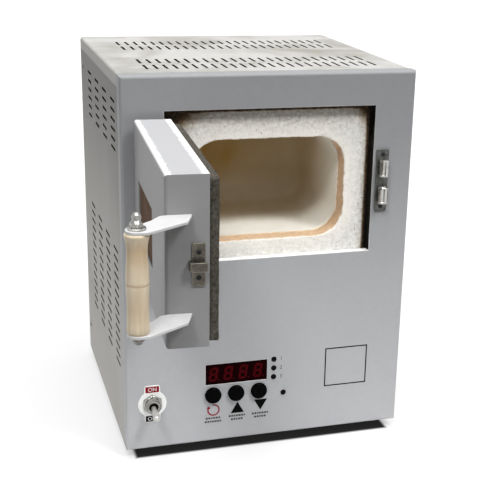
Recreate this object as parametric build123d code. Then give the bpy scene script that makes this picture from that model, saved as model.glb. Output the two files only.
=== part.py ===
from build123d import *
import os

# Jewellery kiln, in millimetres.
# +X is to the right of the front panel, +Y to the back, +Z up. Everything is drawn about the middle
# of the casing, with the door closed. The door is then swung to where it stands open, and the
# whole is moved so that the origin lies on the table, under the middle of the whole.

# --- Driving dimensions: casing ---
casing_width = 240.0
casing_depth = 232.0
casing_height = 311.0
foot_height = 8.0
sheet = 1.2                    # steel sheet of the casing and the door
bend_radius = 2.5              # outside radius of the folded edges
front_return = 12.0            # folded edge of the front panel
cover_leg = 10.0               # folded edges of the top panel
rear_return = 22.0             # flanges of the rear panel
tray_flange = 14.0             # upturned edges of the base tray

# Ventilation slots
slot_length = 21.5
slot_width = 2.4
slot_pitch = 7.9
top_slot_count = 25
top_slot_first_x = 27.2        # from the left edge
top_row_centres = (41.7, 72.3, 151.7, 182.3)   # from the front face
side_slot_pitch = 7.6
side_slot_columns = (36.3, 81.6, 126.9, 172.2)  # from the front face
side_upper_rows = 6
side_upper_drop = 43.0         # centre of the upper rows below the casing's top
side_lower_rows = 14
side_lower_centre = 115.4      # above the casing's bottom edge

# Feet and cable gland
slip_clearance = 0.15
foot_radius = 12.0
foot_taper = 1.2
foot_inset_x = 22.0
foot_front_y = 26.5
foot_rear_y = 191.0
gland_height = 34.0
gland_x = 66.0
gland_radius = 8.0
gland_bore = 3.6
gland_flats = 21.0
gland_cap_radius = 7.0
gland_hexagon = 5.0
gland_cap = 8.0

# --- Driving dimensions: door aperture, collar and chamber ---
aperture_width = 172.6
aperture_height = 122.8
aperture_drop = 88.6           # its centre below the casing's top
aperture_lip = 7.0             # folded lips above and below the aperture
collar_setback = 7.4           # front of the fibre collar behind the panel's face
collar_thickness = 16.0
muffle_width = 168.0
muffle_height = 122.0
muffle_below_aperture = 4.4    # centre to centre
chamber_below_aperture = 5.9
collar_opening_width = 128.5
collar_opening_height = 84.0
collar_opening_radius = 24.0
chamber_step = 1.0             # the muffle's mouth stands inside the collar's opening
chamber_depth = 120.0          # from the collar's face to the back wall
chamber_back_bevel = 9.0
muffle_back_wall = 24.0
backing_side = 12.0
backing_rear = 18.0

# --- Driving dimensions: controls ---
display_width = 53.3
display_height = 18.6
display_x = 93.15              # from the left edge
display_z = 61.4               # above the casing's bottom edge
filter_overlap = 2.0
filter_thickness = 2.0
board_border_x = 6.15          # from a stud to the edge
board_border_z = 5.2
board_thickness = 1.6
stud_x = (38.9, 161.6)
stud_z = (10.4, 72.0)
standoff_length = 10.0
standoff_flats = 5.5
button_radius = 7.0
button_clearance = 0.08
button_pitch = 19.85
button_x = 92.75               # the middle button
button_z = 42.8
button_proud = 3.5
button_travel = 1.0
key_size = 12.0
key_height = 4.2
lamp_radius = 2.4
lamp_clearance = 0.1
lamp_proud = 0.8
lamp_places = ((125.6, 70.0), (125.6, 62.0), (125.6, 53.9), (134.5, 38.5))
switch_x = 21.6
switch_z = 41.0
bush_radius = 5.9
bush_proud = 7.6
bush_bore_radius = 4.6
bush_bore_depth = 2.0          # behind the sheet
switch_blade_width = 6.0       # soldering blades behind the switch
switch_blade_length = 8.0
switch_blade_thickness = 0.8
switch_blade_pitch = 8.0
legend_radius = 11.8
legend_tab_width = 13.0
legend_tab_reach = 16.5
legend_thickness = 0.8
nut_across_flats = 15.0
nut_height = 2.6
lever_length = 20.5
lever_angle = 15.0             # either side of square to the panel
lever_root = 2.05
lever_tip = 2.9
lever_bat = 12.0               # thick end, with its swell
lever_swell = 4.0
lever_pivot_y = 1.5            # pivot in front of the panel's face
switch_body_width = 17.0
switch_body_height = 29.0
switch_body_depth = 24.0

# --- Driving dimensions: door ---
door_width = 170.3
door_height = 113.9
door_thickness = 28.0
door_gap = 0.4                 # back of the shell to the front panel, closed
door_open_angle = 93.3
hinge_x = 0.1                  # axis outside the aperture's left edge
hinge_y = 4.2                  # in front of the panel's face
hinge_to_door = 4.1
slab_proud = 6.6
slab_gap_free = 1.3
slab_gap_hinge = 1.6
slab_gap_top = 1.3
slab_gap_bottom = 0.4
window_left = 27.0             # from the door's hinge edge
window_width = 79.0
window_height = 42.0
window_below_door = 3.4        # centre to centre
glass_overlap = 5.0
glass_thickness = 4.0
glass_gap = 0.3

# Hinges
leaf_height = 38.0
leaf_thickness = 1.5
leaf_reach = 16.0
knuckle_radius = 3.2
knuckle_gap = 0.3
hinge_pin_radius = 1.6
pin_clearance = 0.05
pin_head_height = 1.2
hinge_offset = 36.0            # each hinge from the middle of the door

# Handle
bracket_spacing = 65.0         # centre to centre
bracket_below_door = 1.6       # middle of the pair below the middle of the door
bracket_thickness = 2.0
bracket_end_radius = 8.0
grip_u = 197.5                 # grip's axis from the door's hinge edge
grip_v = 20.0                  # grip's axis in front of the door's face
grip_bolt_radius = 2.0
grip_bore_clearance = 0.15
grip_top_radius = 7.9
grip_neck_radius = 6.2
grip_belly_radius = 7.1
grip_waist_radius = 6.6
grip_foot_radius = 7.4
grip_belly_length = 18.0
grip_bead = 3.5                # straight band at each end
grip_swell = 3.0               # length of each change of radius
washer_radius = 5.6
washer_thickness = 1.4
acorn_flats = 7.4
acorn_height = 6.4

# Catch and strike
catch_plate_width = 10.7
catch_plate_height = 52.5
catch_plate_thickness = 1.5
catch_x = 7.65                 # axis outside the aperture's right edge
catch_below_door = 0.9         # centre to centre
barrel_radius = 4.0
barrel_length = 14.0
barrel_gap = 9.0
barrel_standoff = 5.5          # barrel axis in front of the panel's face
ball_radius = 3.2
barrel_web = 6.0               # width of the web that joins a barrel to its plate
catch_plate_corner = 1.5
ball_clearance = 0.08
ball_proud = 1.2
strike_length = 28.5
strike_depth = 8.4
strike_thickness = 1.2
strike_setback = 3.2           # from the panel's face, closed
tongue_clearance = 0.25        # each side, to the balls
tongue_thickness = 2.2
strike_arm = 0.6                # the arm stands into the strike by this much
tongue_tip_gap = 2.2           # from the panel's face, closed

# Electrical pieces on the base
core_x = -54.0
core_y = 20.0
core_width = 48.0
core_depth = 38.0
core_height = 40.0
winding_inset = 7.0
winding_reach = 8.0
relay_x = 24.5
relay_y = 20.0
relay_width = 45.0
relay_depth = 58.0
relay_height = 22.0
relay_wall = 8.0
relay_step = 6.0
terminal_y = 50.0
terminal_depth = 16.0
terminal_height = 16.0
terminal_pitch = 12.0
terminal_count = 3

# --- Derived places ---
left_x = -casing_width / 2
right_x = casing_width / 2
front_y = -casing_depth / 2
back_y = casing_depth / 2
bottom_z = foot_height
top_z = foot_height + casing_height
inner_y = front_y + sheet                      # back of the front panel's sheet
cover_y = front_y + front_return               # where the covers meet the front panel
aperture_z = top_z - aperture_drop
collar_front = front_y + collar_setback
muffle_front = collar_front + collar_thickness
chamber_back = collar_front + chamber_depth
muffle_back = chamber_back + muffle_back_wall
backing_back = muffle_back + backing_rear
muffle_bottom = aperture_z - muffle_below_aperture - muffle_height / 2
muffle_top = muffle_bottom + muffle_height
chamber_z = aperture_z - chamber_below_aperture
filter_back = inner_y + filter_thickness
board_front = inner_y + standoff_length
board_x = left_x + sum(stud_x) / 2
board_z = bottom_z + sum(stud_z) / 2
board_width = stud_x[1] - stud_x[0] + 2 * board_border_x
board_height = stud_z[1] - stud_z[0] + 2 * board_border_z
hinge_axis_x = -aperture_width / 2 - hinge_x
door_left = hinge_axis_x + hinge_to_door       # door's hinge edge, closed
door_right = door_left + door_width
door_back = front_y - door_gap
door_front = door_back - door_thickness
door_bottom = aperture_z - door_height / 2
door_top = aperture_z + door_height / 2
window_z = aperture_z - window_below_door
hinge_axis_y = front_y - hinge_y
hinge_centres = [aperture_z + side * hinge_offset for side in (-1, 1)]
catch_axis_x = aperture_width / 2 + catch_x
catch_axis_y = front_y - barrel_standoff
catch_mid_z = aperture_z - catch_below_door
ball_offset = barrel_gap / 2 - ball_proud + ball_radius
switch_axis_x = left_x + switch_x
switch_axis_z = bottom_z + switch_z
grip_axis_x = door_left + grip_u
grip_axis_y = door_front - grip_v
bracket_heights = [aperture_z - bracket_below_door + side * bracket_spacing / 2 for side in (-1, 1)]

parts = {}


# --- Helpers ---
def block(x0, x1, y0, y1, z0, z1):
    """A box between two corners."""
    return Pos((x0 + x1) / 2, (y0 + y1) / 2, (z0 + z1) / 2) * Box(x1 - x0, y1 - y0, z1 - z0)


def rod_x(y, z, radius, x0, x1):
    """A round bar along X."""
    return Pos((x0 + x1) / 2, y, z) * Rot(0, 90, 0) * Cylinder(radius, abs(x1 - x0))


def rod_y(x, z, radius, y0, y1):
    """A round bar along Y."""
    return Pos(x, (y0 + y1) / 2, z) * Rot(90, 0, 0) * Cylinder(radius, abs(y1 - y0))


def rod_z(x, y, radius, z0, z1):
    """A round bar along Z."""
    return Pos(x, y, (z0 + z1) / 2) * Cylinder(radius, abs(z1 - z0))


def rounded_block_y(width, height, radius, x, z, y0, y1):
    """A block along Y whose four long edges are rounded."""
    outline = Plane.XZ * RectangleRounded(width, height, radius)
    return Pos(x, y0, z) * extrude(outline, -(y1 - y0))


def hexagon_bar(across_flats, length):
    """A hexagonal bar along Z, standing on the origin."""
    return extrude(RegularPolygon(across_flats / 2, 6, major_radius=False), length)


def gather(pieces):
    """Separate solids of one node."""
    found = []
    for piece in pieces:
        found.extend(piece.solids())
    return Compound(children=found)


# --- Casing ---
def folded_tray(x0, x1, y0, y1, z0, z1, open_side):
    """A tray of folded sheet along Y, open at its front (-1) or its back (+1), with mitred corners."""
    outer = block(x0, x1, y0, y1, z0, z1)
    closed_end = 0 if open_side > 0 else -1
    outer = fillet(outer.edges().group_by(Axis.Y)[closed_end], bend_radius)
    in_y0 = y0 + sheet if open_side > 0 else y0 - sheet
    in_y1 = y1 + sheet if open_side > 0 else y1 - sheet
    return outer - block(x0 + sheet, x1 - sheet, in_y0, in_y1, z0 + sheet, z1 - sheet)


def front_panel():
    """Front face with its folded edges, the aperture with its lips, and the control openings."""
    panel = folded_tray(left_x, right_x, front_y, cover_y, bottom_z, top_z, 1)
    low = aperture_z - aperture_height / 2
    high = aperture_z + aperture_height / 2
    half = aperture_width / 2
    cuts = [block(-half, half, front_y - 1, inner_y + 1, low, high)]
    dx = left_x + display_x
    dz = bottom_z + display_z
    cuts.append(block(dx - display_width / 2, dx + display_width / 2, front_y - 1, inner_y + 1,
                      dz - display_height / 2, dz + display_height / 2))
    for step in (-1, 0, 1):
        cuts.append(rod_y(left_x + button_x + step * button_pitch, bottom_z + button_z,
                          button_radius + button_clearance, front_y - 1, inner_y + 1))
    for x, z in lamp_places:
        cuts.append(rod_y(left_x + x, bottom_z + z, lamp_radius + lamp_clearance, front_y - 1, inner_y + 1))
    cuts.append(rod_y(switch_axis_x, switch_axis_z, bush_radius + slip_clearance, front_y - 1, inner_y + 1))
    panel -= cuts
    for z0 in (low - sheet, high):
        panel += block(-half, half, front_y + sheet / 2, front_y + aperture_lip, z0, z0 + sheet)
    return panel


def top_panel():
    """Top cover with both side bends and the four rows of slots."""
    outer = block(left_x, right_x, cover_y, back_y, top_z - cover_leg, top_z)
    top_edges = outer.edges().filter_by(Axis.Y).group_by(Axis.Z)[-1]
    outer = fillet(top_edges, bend_radius)
    inner = block(left_x + sheet, right_x - sheet, cover_y - 1, back_y + 1,
                  top_z - cover_leg - 1, top_z - sheet)
    slots = []
    for row in top_row_centres:
        y = front_y + row
        for step in range(top_slot_count):
            x = left_x + top_slot_first_x + step * slot_pitch
            slots.append(block(x - slot_width / 2, x + slot_width / 2,
                               y - slot_length / 2, y + slot_length / 2, top_z - 2 * sheet, top_z + 1))
    return outer - inner - slots


def side_panel(side):
    """One side sheet with its two groups of slots; side is -1 on the left and +1 on the right."""
    outer_x = side * casing_width / 2
    inner_x = outer_x - side * sheet
    x0 = min(outer_x, inner_x)
    x1 = max(outer_x, inner_x)
    panel = block(x0, x1, cover_y, back_y, bottom_z, top_z - cover_leg)
    slots = []
    groups = ((side_upper_rows, top_z - side_upper_drop), (side_lower_rows, bottom_z + side_lower_centre))
    for rows, centre in groups:
        for row in range(rows):
            z = centre + (row - (rows - 1) / 2) * side_slot_pitch
            for column in side_slot_columns:
                y = front_y + column
                slots.append(block(x0 - 1, x1 + 1, y - slot_length / 2, y + slot_length / 2,
                                   z - slot_width / 2, z + slot_width / 2))
    return panel - slots


def rear_panel():
    """Rear sheet with flanges forward inside the covers, and the hole of the cable gland."""
    panel = folded_tray(left_x + sheet, right_x - sheet, back_y - rear_return, back_y,
                        bottom_z + sheet, top_z - sheet, -1)
    return panel - rod_y(gland_x, bottom_z + gland_height, gland_radius, back_y - 2 * sheet, back_y + 1)


def base_tray():
    """Base sheet with upturned edges that lie against the side panels."""
    x0 = left_x + sheet
    x1 = right_x - sheet
    y1 = back_y - rear_return - sheet
    tray = block(x0, x1, cover_y, back_y, bottom_z, bottom_z + sheet)
    for edge in (x0, x1 - sheet):
        tray += block(edge, edge + sheet, cover_y, y1, bottom_z, bottom_z + tray_flange)
    return tray


def foot_places():
    """Centres of the four feet."""
    return [(side * (casing_width / 2 - foot_inset_x), front_y + y)
            for side in (-1, 1) for y in (foot_front_y, foot_rear_y)]


def rubber_feet():
    """Four tapered rubber feet under the base."""
    return gather([Pos(x, y, foot_height / 2) * Cone(foot_radius - foot_taper, foot_radius, foot_height)
                   for x, y in foot_places()])


def cable_gland():
    """Cable gland in the rear panel: a hexagon and a round cap outside, and a bore."""
    z = bottom_z + gland_height
    inner_end = back_y - 2 * gland_hexagon
    cap_start = back_y + gland_hexagon
    body = rod_y(gland_x, z, gland_radius - slip_clearance, inner_end, back_y + 1)
    body += Pos(gland_x, cap_start, z) * Rot(90, 0, 0) * hexagon_bar(gland_flats, gland_hexagon)
    body += rod_y(gland_x, z, gland_cap_radius, cap_start, cap_start + gland_cap)
    return body - rod_y(gland_x, z, gland_bore, inner_end - 1, cap_start + gland_cap + 1)


# --- Chamber ---
def fibre_collar():
    """Front fibre board with the rounded opening."""
    board = block(-muffle_width / 2, muffle_width / 2, collar_front, muffle_front, muffle_bottom, muffle_top)
    opening = rounded_block_y(collar_opening_width, collar_opening_height, collar_opening_radius,
                              0, chamber_z, collar_front - 1, muffle_front + 1)
    return board - opening


def fibre_muffle():
    """Vacuum-formed chamber: a thick box whose hollow has round corners and a bevelled back."""
    body = block(-muffle_width / 2, muffle_width / 2, muffle_front, muffle_back, muffle_bottom, muffle_top)
    width = collar_opening_width - 2 * chamber_step
    height = collar_opening_height - 2 * chamber_step
    hollow = rounded_block_y(width, height, collar_opening_radius - chamber_step,
                             0, chamber_z, muffle_front - 1, chamber_back)
    hollow = chamfer(hollow.edges().group_by(Axis.Y)[-1], chamber_back_bevel)
    return body - hollow


def backing_boards():
    """Insulation boards over, beside and behind the muffle."""
    half = muffle_width / 2 + backing_side
    boards = block(-half, half, muffle_front, backing_back, muffle_bottom, muffle_top + backing_side)
    return boards - block(-muffle_width / 2, muffle_width / 2, muffle_front - 1, muffle_back,
                          muffle_bottom - 1, muffle_top)


def chamber_shelf():
    """Steel shelf under the chamber, hung between the side panels."""
    x0 = left_x + sheet
    x1 = right_x - sheet
    y1 = backing_back + 12
    shelf = block(x0, x1, front_y + bend_radius, y1, muffle_bottom - sheet, muffle_bottom)
    for edge in (x0, x1 - sheet):
        shelf += block(edge, edge + sheet, cover_y, y1, muffle_bottom - tray_flange, muffle_bottom)
    return shelf


# --- Controls ---
def controller_board():
    """Circuit board on its four standoffs, with the keys behind the buttons."""
    board = block(board_x - board_width / 2, board_x + board_width / 2,
                  board_front, board_front + board_thickness,
                  board_z - board_height / 2, board_z + board_height / 2)
    for step in (-1, 0, 1):
        x = left_x + button_x + step * button_pitch
        z = bottom_z + button_z
        board += block(x - key_size / 2, x + key_size / 2, board_front - key_height, board_front,
                       z - key_size / 2, z + key_size / 2)
    return board


def stud_places():
    """Centres of the board's standoffs."""
    return [(left_x + x, bottom_z + z) for x in stud_x for z in stud_z]


def board_standoffs():
    """Hexagonal standoffs between the front panel and the board."""
    return gather([Pos(x, board_front, z) * Rot(90, 0, 0) * hexagon_bar(standoff_flats, standoff_length)
                   for x, z in stud_places()])


def display_filter():
    """Tinted pane behind the display's cut-out."""
    x = left_x + display_x
    z = bottom_z + display_z
    width = display_width / 2 + filter_overlap
    height = display_height / 2 + filter_overlap
    pane = block(x - width, x + width, inner_y, filter_back, z - height, z + height)
    half_width = display_width / 2 - slip_clearance
    half_height = display_height / 2 - slip_clearance
    return pane + block(x - half_width, x + half_width, front_y + sheet / 3, inner_y,
                        z - half_height, z + half_height)


def display_block():
    """Four-digit display between the pane and the board."""
    x = left_x + display_x
    z = bottom_z + display_z
    return block(x - display_width / 2, x + display_width / 2, filter_back, board_front,
                 z - display_height / 2, z + display_height / 2)


def indicator_lamps():
    """The four small lamps, from the board to just proud of the panel."""
    return gather([rod_y(left_x + x, bottom_z + z, lamp_radius, front_y - lamp_proud, board_front)
                   for x, z in lamp_places])


def push_button(step):
    """One round push button; step counts from the middle one."""
    x = left_x + button_x + step * button_pitch
    back = board_front - key_height - button_travel - lamp_clearance
    button = rod_y(x, bottom_z + button_z, button_radius, front_y - button_proud, back)
    return button


def switch_legend_plate():
    """Round legend plate with a tab above and a tab below."""
    z = switch_axis_z
    plate = rod_y(switch_axis_x, z, legend_radius, front_y - legend_thickness, front_y)
    plate += block(switch_axis_x - legend_tab_width / 2, switch_axis_x + legend_tab_width / 2,
                   front_y - legend_thickness, front_y, z - legend_tab_reach, z + legend_tab_reach)
    return plate - rod_y(switch_axis_x, z, bush_radius + slip_clearance, front_y - 2, front_y + 1)


def switch_body():
    """Switch housing behind the panel and its threaded bush, bored out for the lever's swing."""
    z = switch_axis_z
    body = block(switch_axis_x - switch_body_width / 2, switch_axis_x + switch_body_width / 2,
                 inner_y, inner_y + switch_body_depth, z - switch_body_height / 2, z + switch_body_height / 2)
    body += rod_y(switch_axis_x, z, bush_radius, front_y - bush_proud, inner_y + 1)
    blade_half = switch_blade_width / 2
    blade_root = inner_y + switch_body_depth
    for step in (-1, 0, 1):
        blade_z = z + step * switch_blade_pitch
        body += block(switch_axis_x - blade_half, switch_axis_x + blade_half,
                      blade_root, blade_root + switch_blade_length,
                      blade_z - switch_blade_thickness / 2, blade_z + switch_blade_thickness / 2)
    mouth_y = front_y - bush_proud
    return body - rod_y(switch_axis_x, z, bush_bore_radius, mouth_y - 1, inner_y + bush_bore_depth)


def switch_nut():
    """Hexagon nut that clamps the legend plate."""
    seat = Pos(switch_axis_x, front_y - legend_thickness, switch_axis_z) * Rot(90, 0, 0) * Rot(0, 0, 30)
    nut = seat * hexagon_bar(nut_across_flats, nut_height)
    return nut - rod_y(switch_axis_x, switch_axis_z, bush_radius + pin_clearance, front_y - 10, front_y + 1)


def switch_lever():
    """Bat lever, drawn along -Y from its pivot and tipped down to the off position."""
    profile = make_face(Polyline([
        (0, 0),
        (lever_root, 0),
        (lever_root, lever_length - lever_bat),
        (lever_tip, lever_length - lever_bat + lever_swell),
        (lever_tip, lever_length),
        (0, lever_length),
        (0, 0),
    ]))
    lever = revolve(profile, Axis.Y)
    pivot = Pos(switch_axis_x, front_y - lever_pivot_y, switch_axis_z)
    return pivot * Rot(180 + lever_angle, 0, 0) * lever


# --- Hinges ---
def knuckle_span(centre, index):
    """Height limits of one of the three knuckles, counted from below."""
    third = leaf_height / 3
    low = centre - leaf_height / 2 + index * third
    return low + knuckle_gap / 2, low + third - knuckle_gap / 2


def hinge_leaf(centre, own, others, plate):
    """A leaf's plate, notched for the other leaf's knuckles, with its own knuckles."""
    notch = knuckle_radius + knuckle_gap
    for index in others:
        low, high = knuckle_span(centre, index)
        plate -= block(hinge_axis_x - notch, hinge_axis_x + notch, hinge_axis_y - notch, hinge_axis_y + notch,
                       low - knuckle_gap, high + knuckle_gap)
    for index in own:
        low, high = knuckle_span(centre, index)
        plate += rod_z(hinge_axis_x, hinge_axis_y, knuckle_radius, low, high)
    return plate


def panel_leaf(centre):
    """Leaf screwed to the front panel, with the two outer knuckles and the pin pressed into them."""
    low = centre - leaf_height / 2
    high = centre + leaf_height / 2
    plate = block(hinge_axis_x - leaf_reach, hinge_axis_x, front_y - leaf_thickness, front_y, low, high)
    leaf = hinge_leaf(centre, (0, 2), (1,), plate)
    pin = rod_z(hinge_axis_x, hinge_axis_y, hinge_pin_radius, low + knuckle_gap, high + pin_head_height)
    return leaf + pin


def door_leaf(centre):
    """Leaf screwed to the door's hinge edge, with the middle knuckle bored for the pin."""
    low = centre - leaf_height / 2
    high = centre + leaf_height / 2
    plate = block(door_left - leaf_thickness, door_left, hinge_axis_y - leaf_reach, hinge_axis_y, low, high)
    bore = rod_z(hinge_axis_x, hinge_axis_y, hinge_pin_radius + pin_clearance, low, high)
    return hinge_leaf(centre, (1,), (0, 2), plate) - bore


# --- Catch ---
def catch_housing():
    """Double ball catch: a plate and two barrels that face each other, bored for the balls."""
    half = catch_plate_width / 2
    tall = catch_plate_height / 2
    housing = block(catch_axis_x - half, catch_axis_x + half, front_y - catch_plate_thickness, front_y,
                    catch_mid_z - tall, catch_mid_z + tall)
    housing = fillet(housing.edges().filter_by(Axis.Y), catch_plate_corner)
    for side in (-1, 1):
        near = catch_mid_z + side * barrel_gap / 2
        far = near + side * barrel_length
        housing += rod_z(catch_axis_x, catch_axis_y, barrel_radius, near, far)
        housing += block(catch_axis_x - barrel_web / 2, catch_axis_x + barrel_web / 2,
                         catch_axis_y, front_y - 1, min(near, far), max(near, far))
    for side in (-1, 1):
        near = catch_mid_z + side * barrel_gap / 2
        housing -= rod_z(catch_axis_x, catch_axis_y, ball_radius + ball_clearance, near - side,
                         near + side * (barrel_length - 2))
    return housing


def catch_ball(side):
    """One ball of the catch, with a short plunger behind it; side is +1 above and -1 below."""
    profile = make_face(Polyline([
        (0, -ball_radius),
        (0.50 * ball_radius, -0.87 * ball_radius),
        (0.80 * ball_radius, -0.60 * ball_radius),
        (0.80 * ball_radius, ball_radius),
        (0, ball_radius),
        (0, -ball_radius),
    ]))
    ball = revolve(Rot(90, 0, 0) * profile, Axis.Z)
    place = Pos(catch_axis_x, catch_axis_y, catch_mid_z + side * ball_offset)
    return place * ball if side > 0 else place * Rot(180, 0, 0) * ball


# --- Door, drawn closed ---
def door_shell():
    """Folded steel shell, open towards the chamber, with the window's opening in its face."""
    shell = folded_tray(door_left, door_right, door_front, door_back, door_bottom, door_top, 1)
    x0 = door_left + window_left
    z = window_z
    shell -= block(x0, x0 + window_width, door_front - 1, door_front + 2 * sheet,
                   z - window_height / 2, z + window_height / 2)
    return shell


def door_slab():
    """Fibre slab in the shell, proud of it at the back, pocketed for the glass and pierced behind it."""
    x0 = door_left + sheet + slab_gap_hinge
    x1 = door_right - sheet - slab_gap_free
    y0 = door_front + sheet
    z0 = door_bottom + sheet + slab_gap_bottom
    z1 = door_top - sheet - slab_gap_top
    slab = block(x0, x1, y0, door_back + slab_proud, z0, z1)
    slab = fillet(slab.edges().filter_by(Axis.Y), bend_radius)
    glass_x = door_left + window_left + window_width / 2
    glass_z = window_z
    half_x = window_width / 2 + glass_overlap + glass_gap
    half_z = window_height / 2 + glass_overlap + glass_gap
    slab -= block(glass_x - half_x, glass_x + half_x, y0 - 1, y0 + glass_thickness + glass_gap,
                  glass_z - half_z, glass_z + half_z)
    return slab - block(glass_x - window_width / 2, glass_x + window_width / 2,
                        y0 - 1, door_back + slab_proud + 1,
                        glass_z - window_height / 2, glass_z + window_height / 2)


def window_glass():
    """Glass pane behind the shell's face."""
    x = door_left + window_left + window_width / 2
    z = window_z
    half_x = window_width / 2 + glass_overlap
    half_z = window_height / 2 + glass_overlap
    return block(x - half_x, x + half_x, door_front + sheet, door_front + sheet + glass_thickness,
                 z - half_z, z + half_z)


def handle_bracket(z):
    """Flat bracket: welded to the free edge, then slanting out to its round end under the grip."""
    root = door_right
    end_x = grip_axis_x
    end_y = grip_axis_y
    outline = Polyline([
        (root, door_front + 17.0),
        (root + 15.5, door_front + 12.0),
        (end_x + bracket_end_radius, end_y + 6.0),
        (end_x + bracket_end_radius, end_y),
        (end_x - bracket_end_radius, end_y),
        (root + 10.0, door_front - 9.5),
        (root + 1.5, door_front - 3.5),
        (root, door_front + 1.5),
        (root, door_front + 17.0),
    ])
    flat = make_face(outline)
    flat += Pos(end_x, end_y) * Circle(bracket_end_radius)
    flat -= Pos(end_x, end_y) * Circle(grip_bolt_radius + grip_bore_clearance)
    return Pos(0, 0, z - bracket_thickness / 2) * extrude(flat, bracket_thickness)


def wooden_grip():
    """Turned grip between the brackets: flared ends, a waist, a belly and a neck, bored for its bolt."""
    low = bracket_heights[0] + bracket_thickness / 2
    length = bracket_heights[1] - bracket_thickness / 2 - low
    bore = grip_bolt_radius + grip_bore_clearance
    belly_start = (length - grip_belly_length) / 2
    belly_end = (length + grip_belly_length) / 2
    profile = make_face(Polyline([
        (bore, 0),
        (grip_foot_radius, 0),
        (grip_foot_radius, grip_bead),
        (grip_waist_radius, grip_bead + grip_swell),
        (grip_waist_radius, belly_start - grip_swell),
        (grip_belly_radius, belly_start),
        (grip_belly_radius, belly_end),
        (grip_neck_radius, belly_end + grip_swell),
        (grip_neck_radius, length - grip_bead - grip_swell),
        (grip_top_radius, length - grip_bead),
        (grip_top_radius, length),
        (bore, length),
        (bore, 0),
    ]))
    return Pos(grip_axis_x, grip_axis_y, low) * revolve(Rot(90, 0, 0) * profile, Axis.Z)


def grip_bolt():
    """Through bolt of the grip with a nut tight on each end and the washer under the upper one."""
    axis = Pos(grip_axis_x, grip_axis_y, 0)
    low_seat = bracket_heights[0] - bracket_thickness / 2
    high_seat = bracket_heights[1] + bracket_thickness / 2
    bolt = rod_z(grip_axis_x, grip_axis_y, grip_bolt_radius, low_seat - 1, high_seat + 1)
    bolt += rod_z(grip_axis_x, grip_axis_y, washer_radius, high_seat, high_seat + washer_thickness)
    bolt += axis * Pos(0, 0, high_seat + washer_thickness) * hexagon_bar(acorn_flats, acorn_height)
    return bolt + axis * Pos(0, 0, low_seat - acorn_height) * hexagon_bar(acorn_flats, acorn_height)


def strike_plate():
    """Strike on the free edge, with the tongue that runs in between the balls."""
    y1 = front_y - strike_setback
    y0 = y1 - strike_depth
    x0 = door_right
    strike = block(x0, x0 + strike_thickness, y0, y1,
                   catch_mid_z - strike_length / 2, catch_mid_z + strike_length / 2)
    half = barrel_gap / 2 - ball_proud - tongue_clearance
    tongue_x = catch_axis_x - tongue_thickness / 2
    strike += block(x0, tongue_x + tongue_thickness, y0 - tongue_thickness, y0 + strike_arm,
                    catch_mid_z - half, catch_mid_z + half)
    tongue = block(tongue_x, tongue_x + tongue_thickness, y0 - 1, front_y - tongue_tip_gap,
                   catch_mid_z - half, catch_mid_z + half)
    tip_edges = tongue.edges().filter_by(Axis.X).group_by(Axis.Y)[-1]
    strike += fillet(tip_edges, half * 0.8)
    return strike


# --- Electrical pieces on the base ---
def transformer():
    """Small transformer: laminated core with its coil."""
    z0 = bottom_z + sheet
    half = core_width / 2
    core = block(core_x - half, core_x + half, core_y, core_y + core_depth, z0, z0 + core_height)
    inset = winding_inset
    return core + block(core_x - half + inset, core_x + half - inset, core_y - winding_reach,
                        core_y + core_depth + winding_reach, z0 + inset, z0 + core_height - inset)


def power_relay():
    """Relay that switches the heating coils, with a step for its terminals at each end."""
    z0 = bottom_z + sheet
    half = relay_width / 2
    body = block(relay_x - half, relay_x + half, relay_y, relay_y + relay_depth, z0, z0 + relay_height)
    for y in (relay_y, relay_y + relay_depth):
        body -= block(relay_x - half + relay_wall, relay_x + half - relay_wall,
                      y - relay_step, y + relay_step,
                      z0 + relay_height / 2, z0 + relay_height + 1)
    return body


def terminal_block():
    """Terminal strip near the gland, with a channel for each wire."""
    z0 = bottom_z + sheet
    width = terminal_count * terminal_pitch
    x0 = gland_x - width / 2
    strip = block(x0, x0 + width, terminal_y, terminal_y + terminal_depth, z0, z0 + terminal_height)
    for step in range(terminal_count):
        middle = x0 + (step + 0.5) * terminal_pitch
        strip -= block(middle - terminal_pitch / 4, middle + terminal_pitch / 4, terminal_y - 1,
                       terminal_y + terminal_depth + 1, z0 + terminal_height / 2, z0 + terminal_height + 1)
    return strip


# --- Build ---
parts["front_panel"] = front_panel()
parts["top_panel"] = top_panel()
parts["left_side_panel"] = side_panel(-1)
parts["right_side_panel"] = side_panel(1)
parts["rear_panel"] = rear_panel()
parts["base_tray"] = base_tray()
parts["rubber_feet"] = rubber_feet()
parts["cable_gland"] = cable_gland()
parts["fibre_collar"] = fibre_collar()
parts["fibre_muffle"] = fibre_muffle()
parts["backing_boards"] = backing_boards()
parts["chamber_shelf"] = chamber_shelf()
parts["controller_board"] = controller_board()
parts["board_standoffs"] = board_standoffs()
parts["display_filter"] = display_filter()
parts["display_block"] = display_block()
parts["indicator_lamps"] = indicator_lamps()
parts["button_left"] = push_button(-1)
parts["button_middle"] = push_button(0)
parts["button_right"] = push_button(1)
parts["switch_legend_plate"] = switch_legend_plate()
parts["switch_body"] = switch_body()
parts["switch_nut"] = switch_nut()
parts["switch_lever"] = switch_lever()
parts["catch_housing"] = catch_housing()
parts["catch_ball_upper"] = catch_ball(1)
parts["catch_ball_lower"] = catch_ball(-1)
parts["transformer"] = transformer()
parts["power_relay"] = power_relay()
parts["terminal_block"] = terminal_block()
parts["hinge_lower_panel_leaf"] = panel_leaf(hinge_centres[0])
parts["hinge_upper_panel_leaf"] = panel_leaf(hinge_centres[1])

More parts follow.
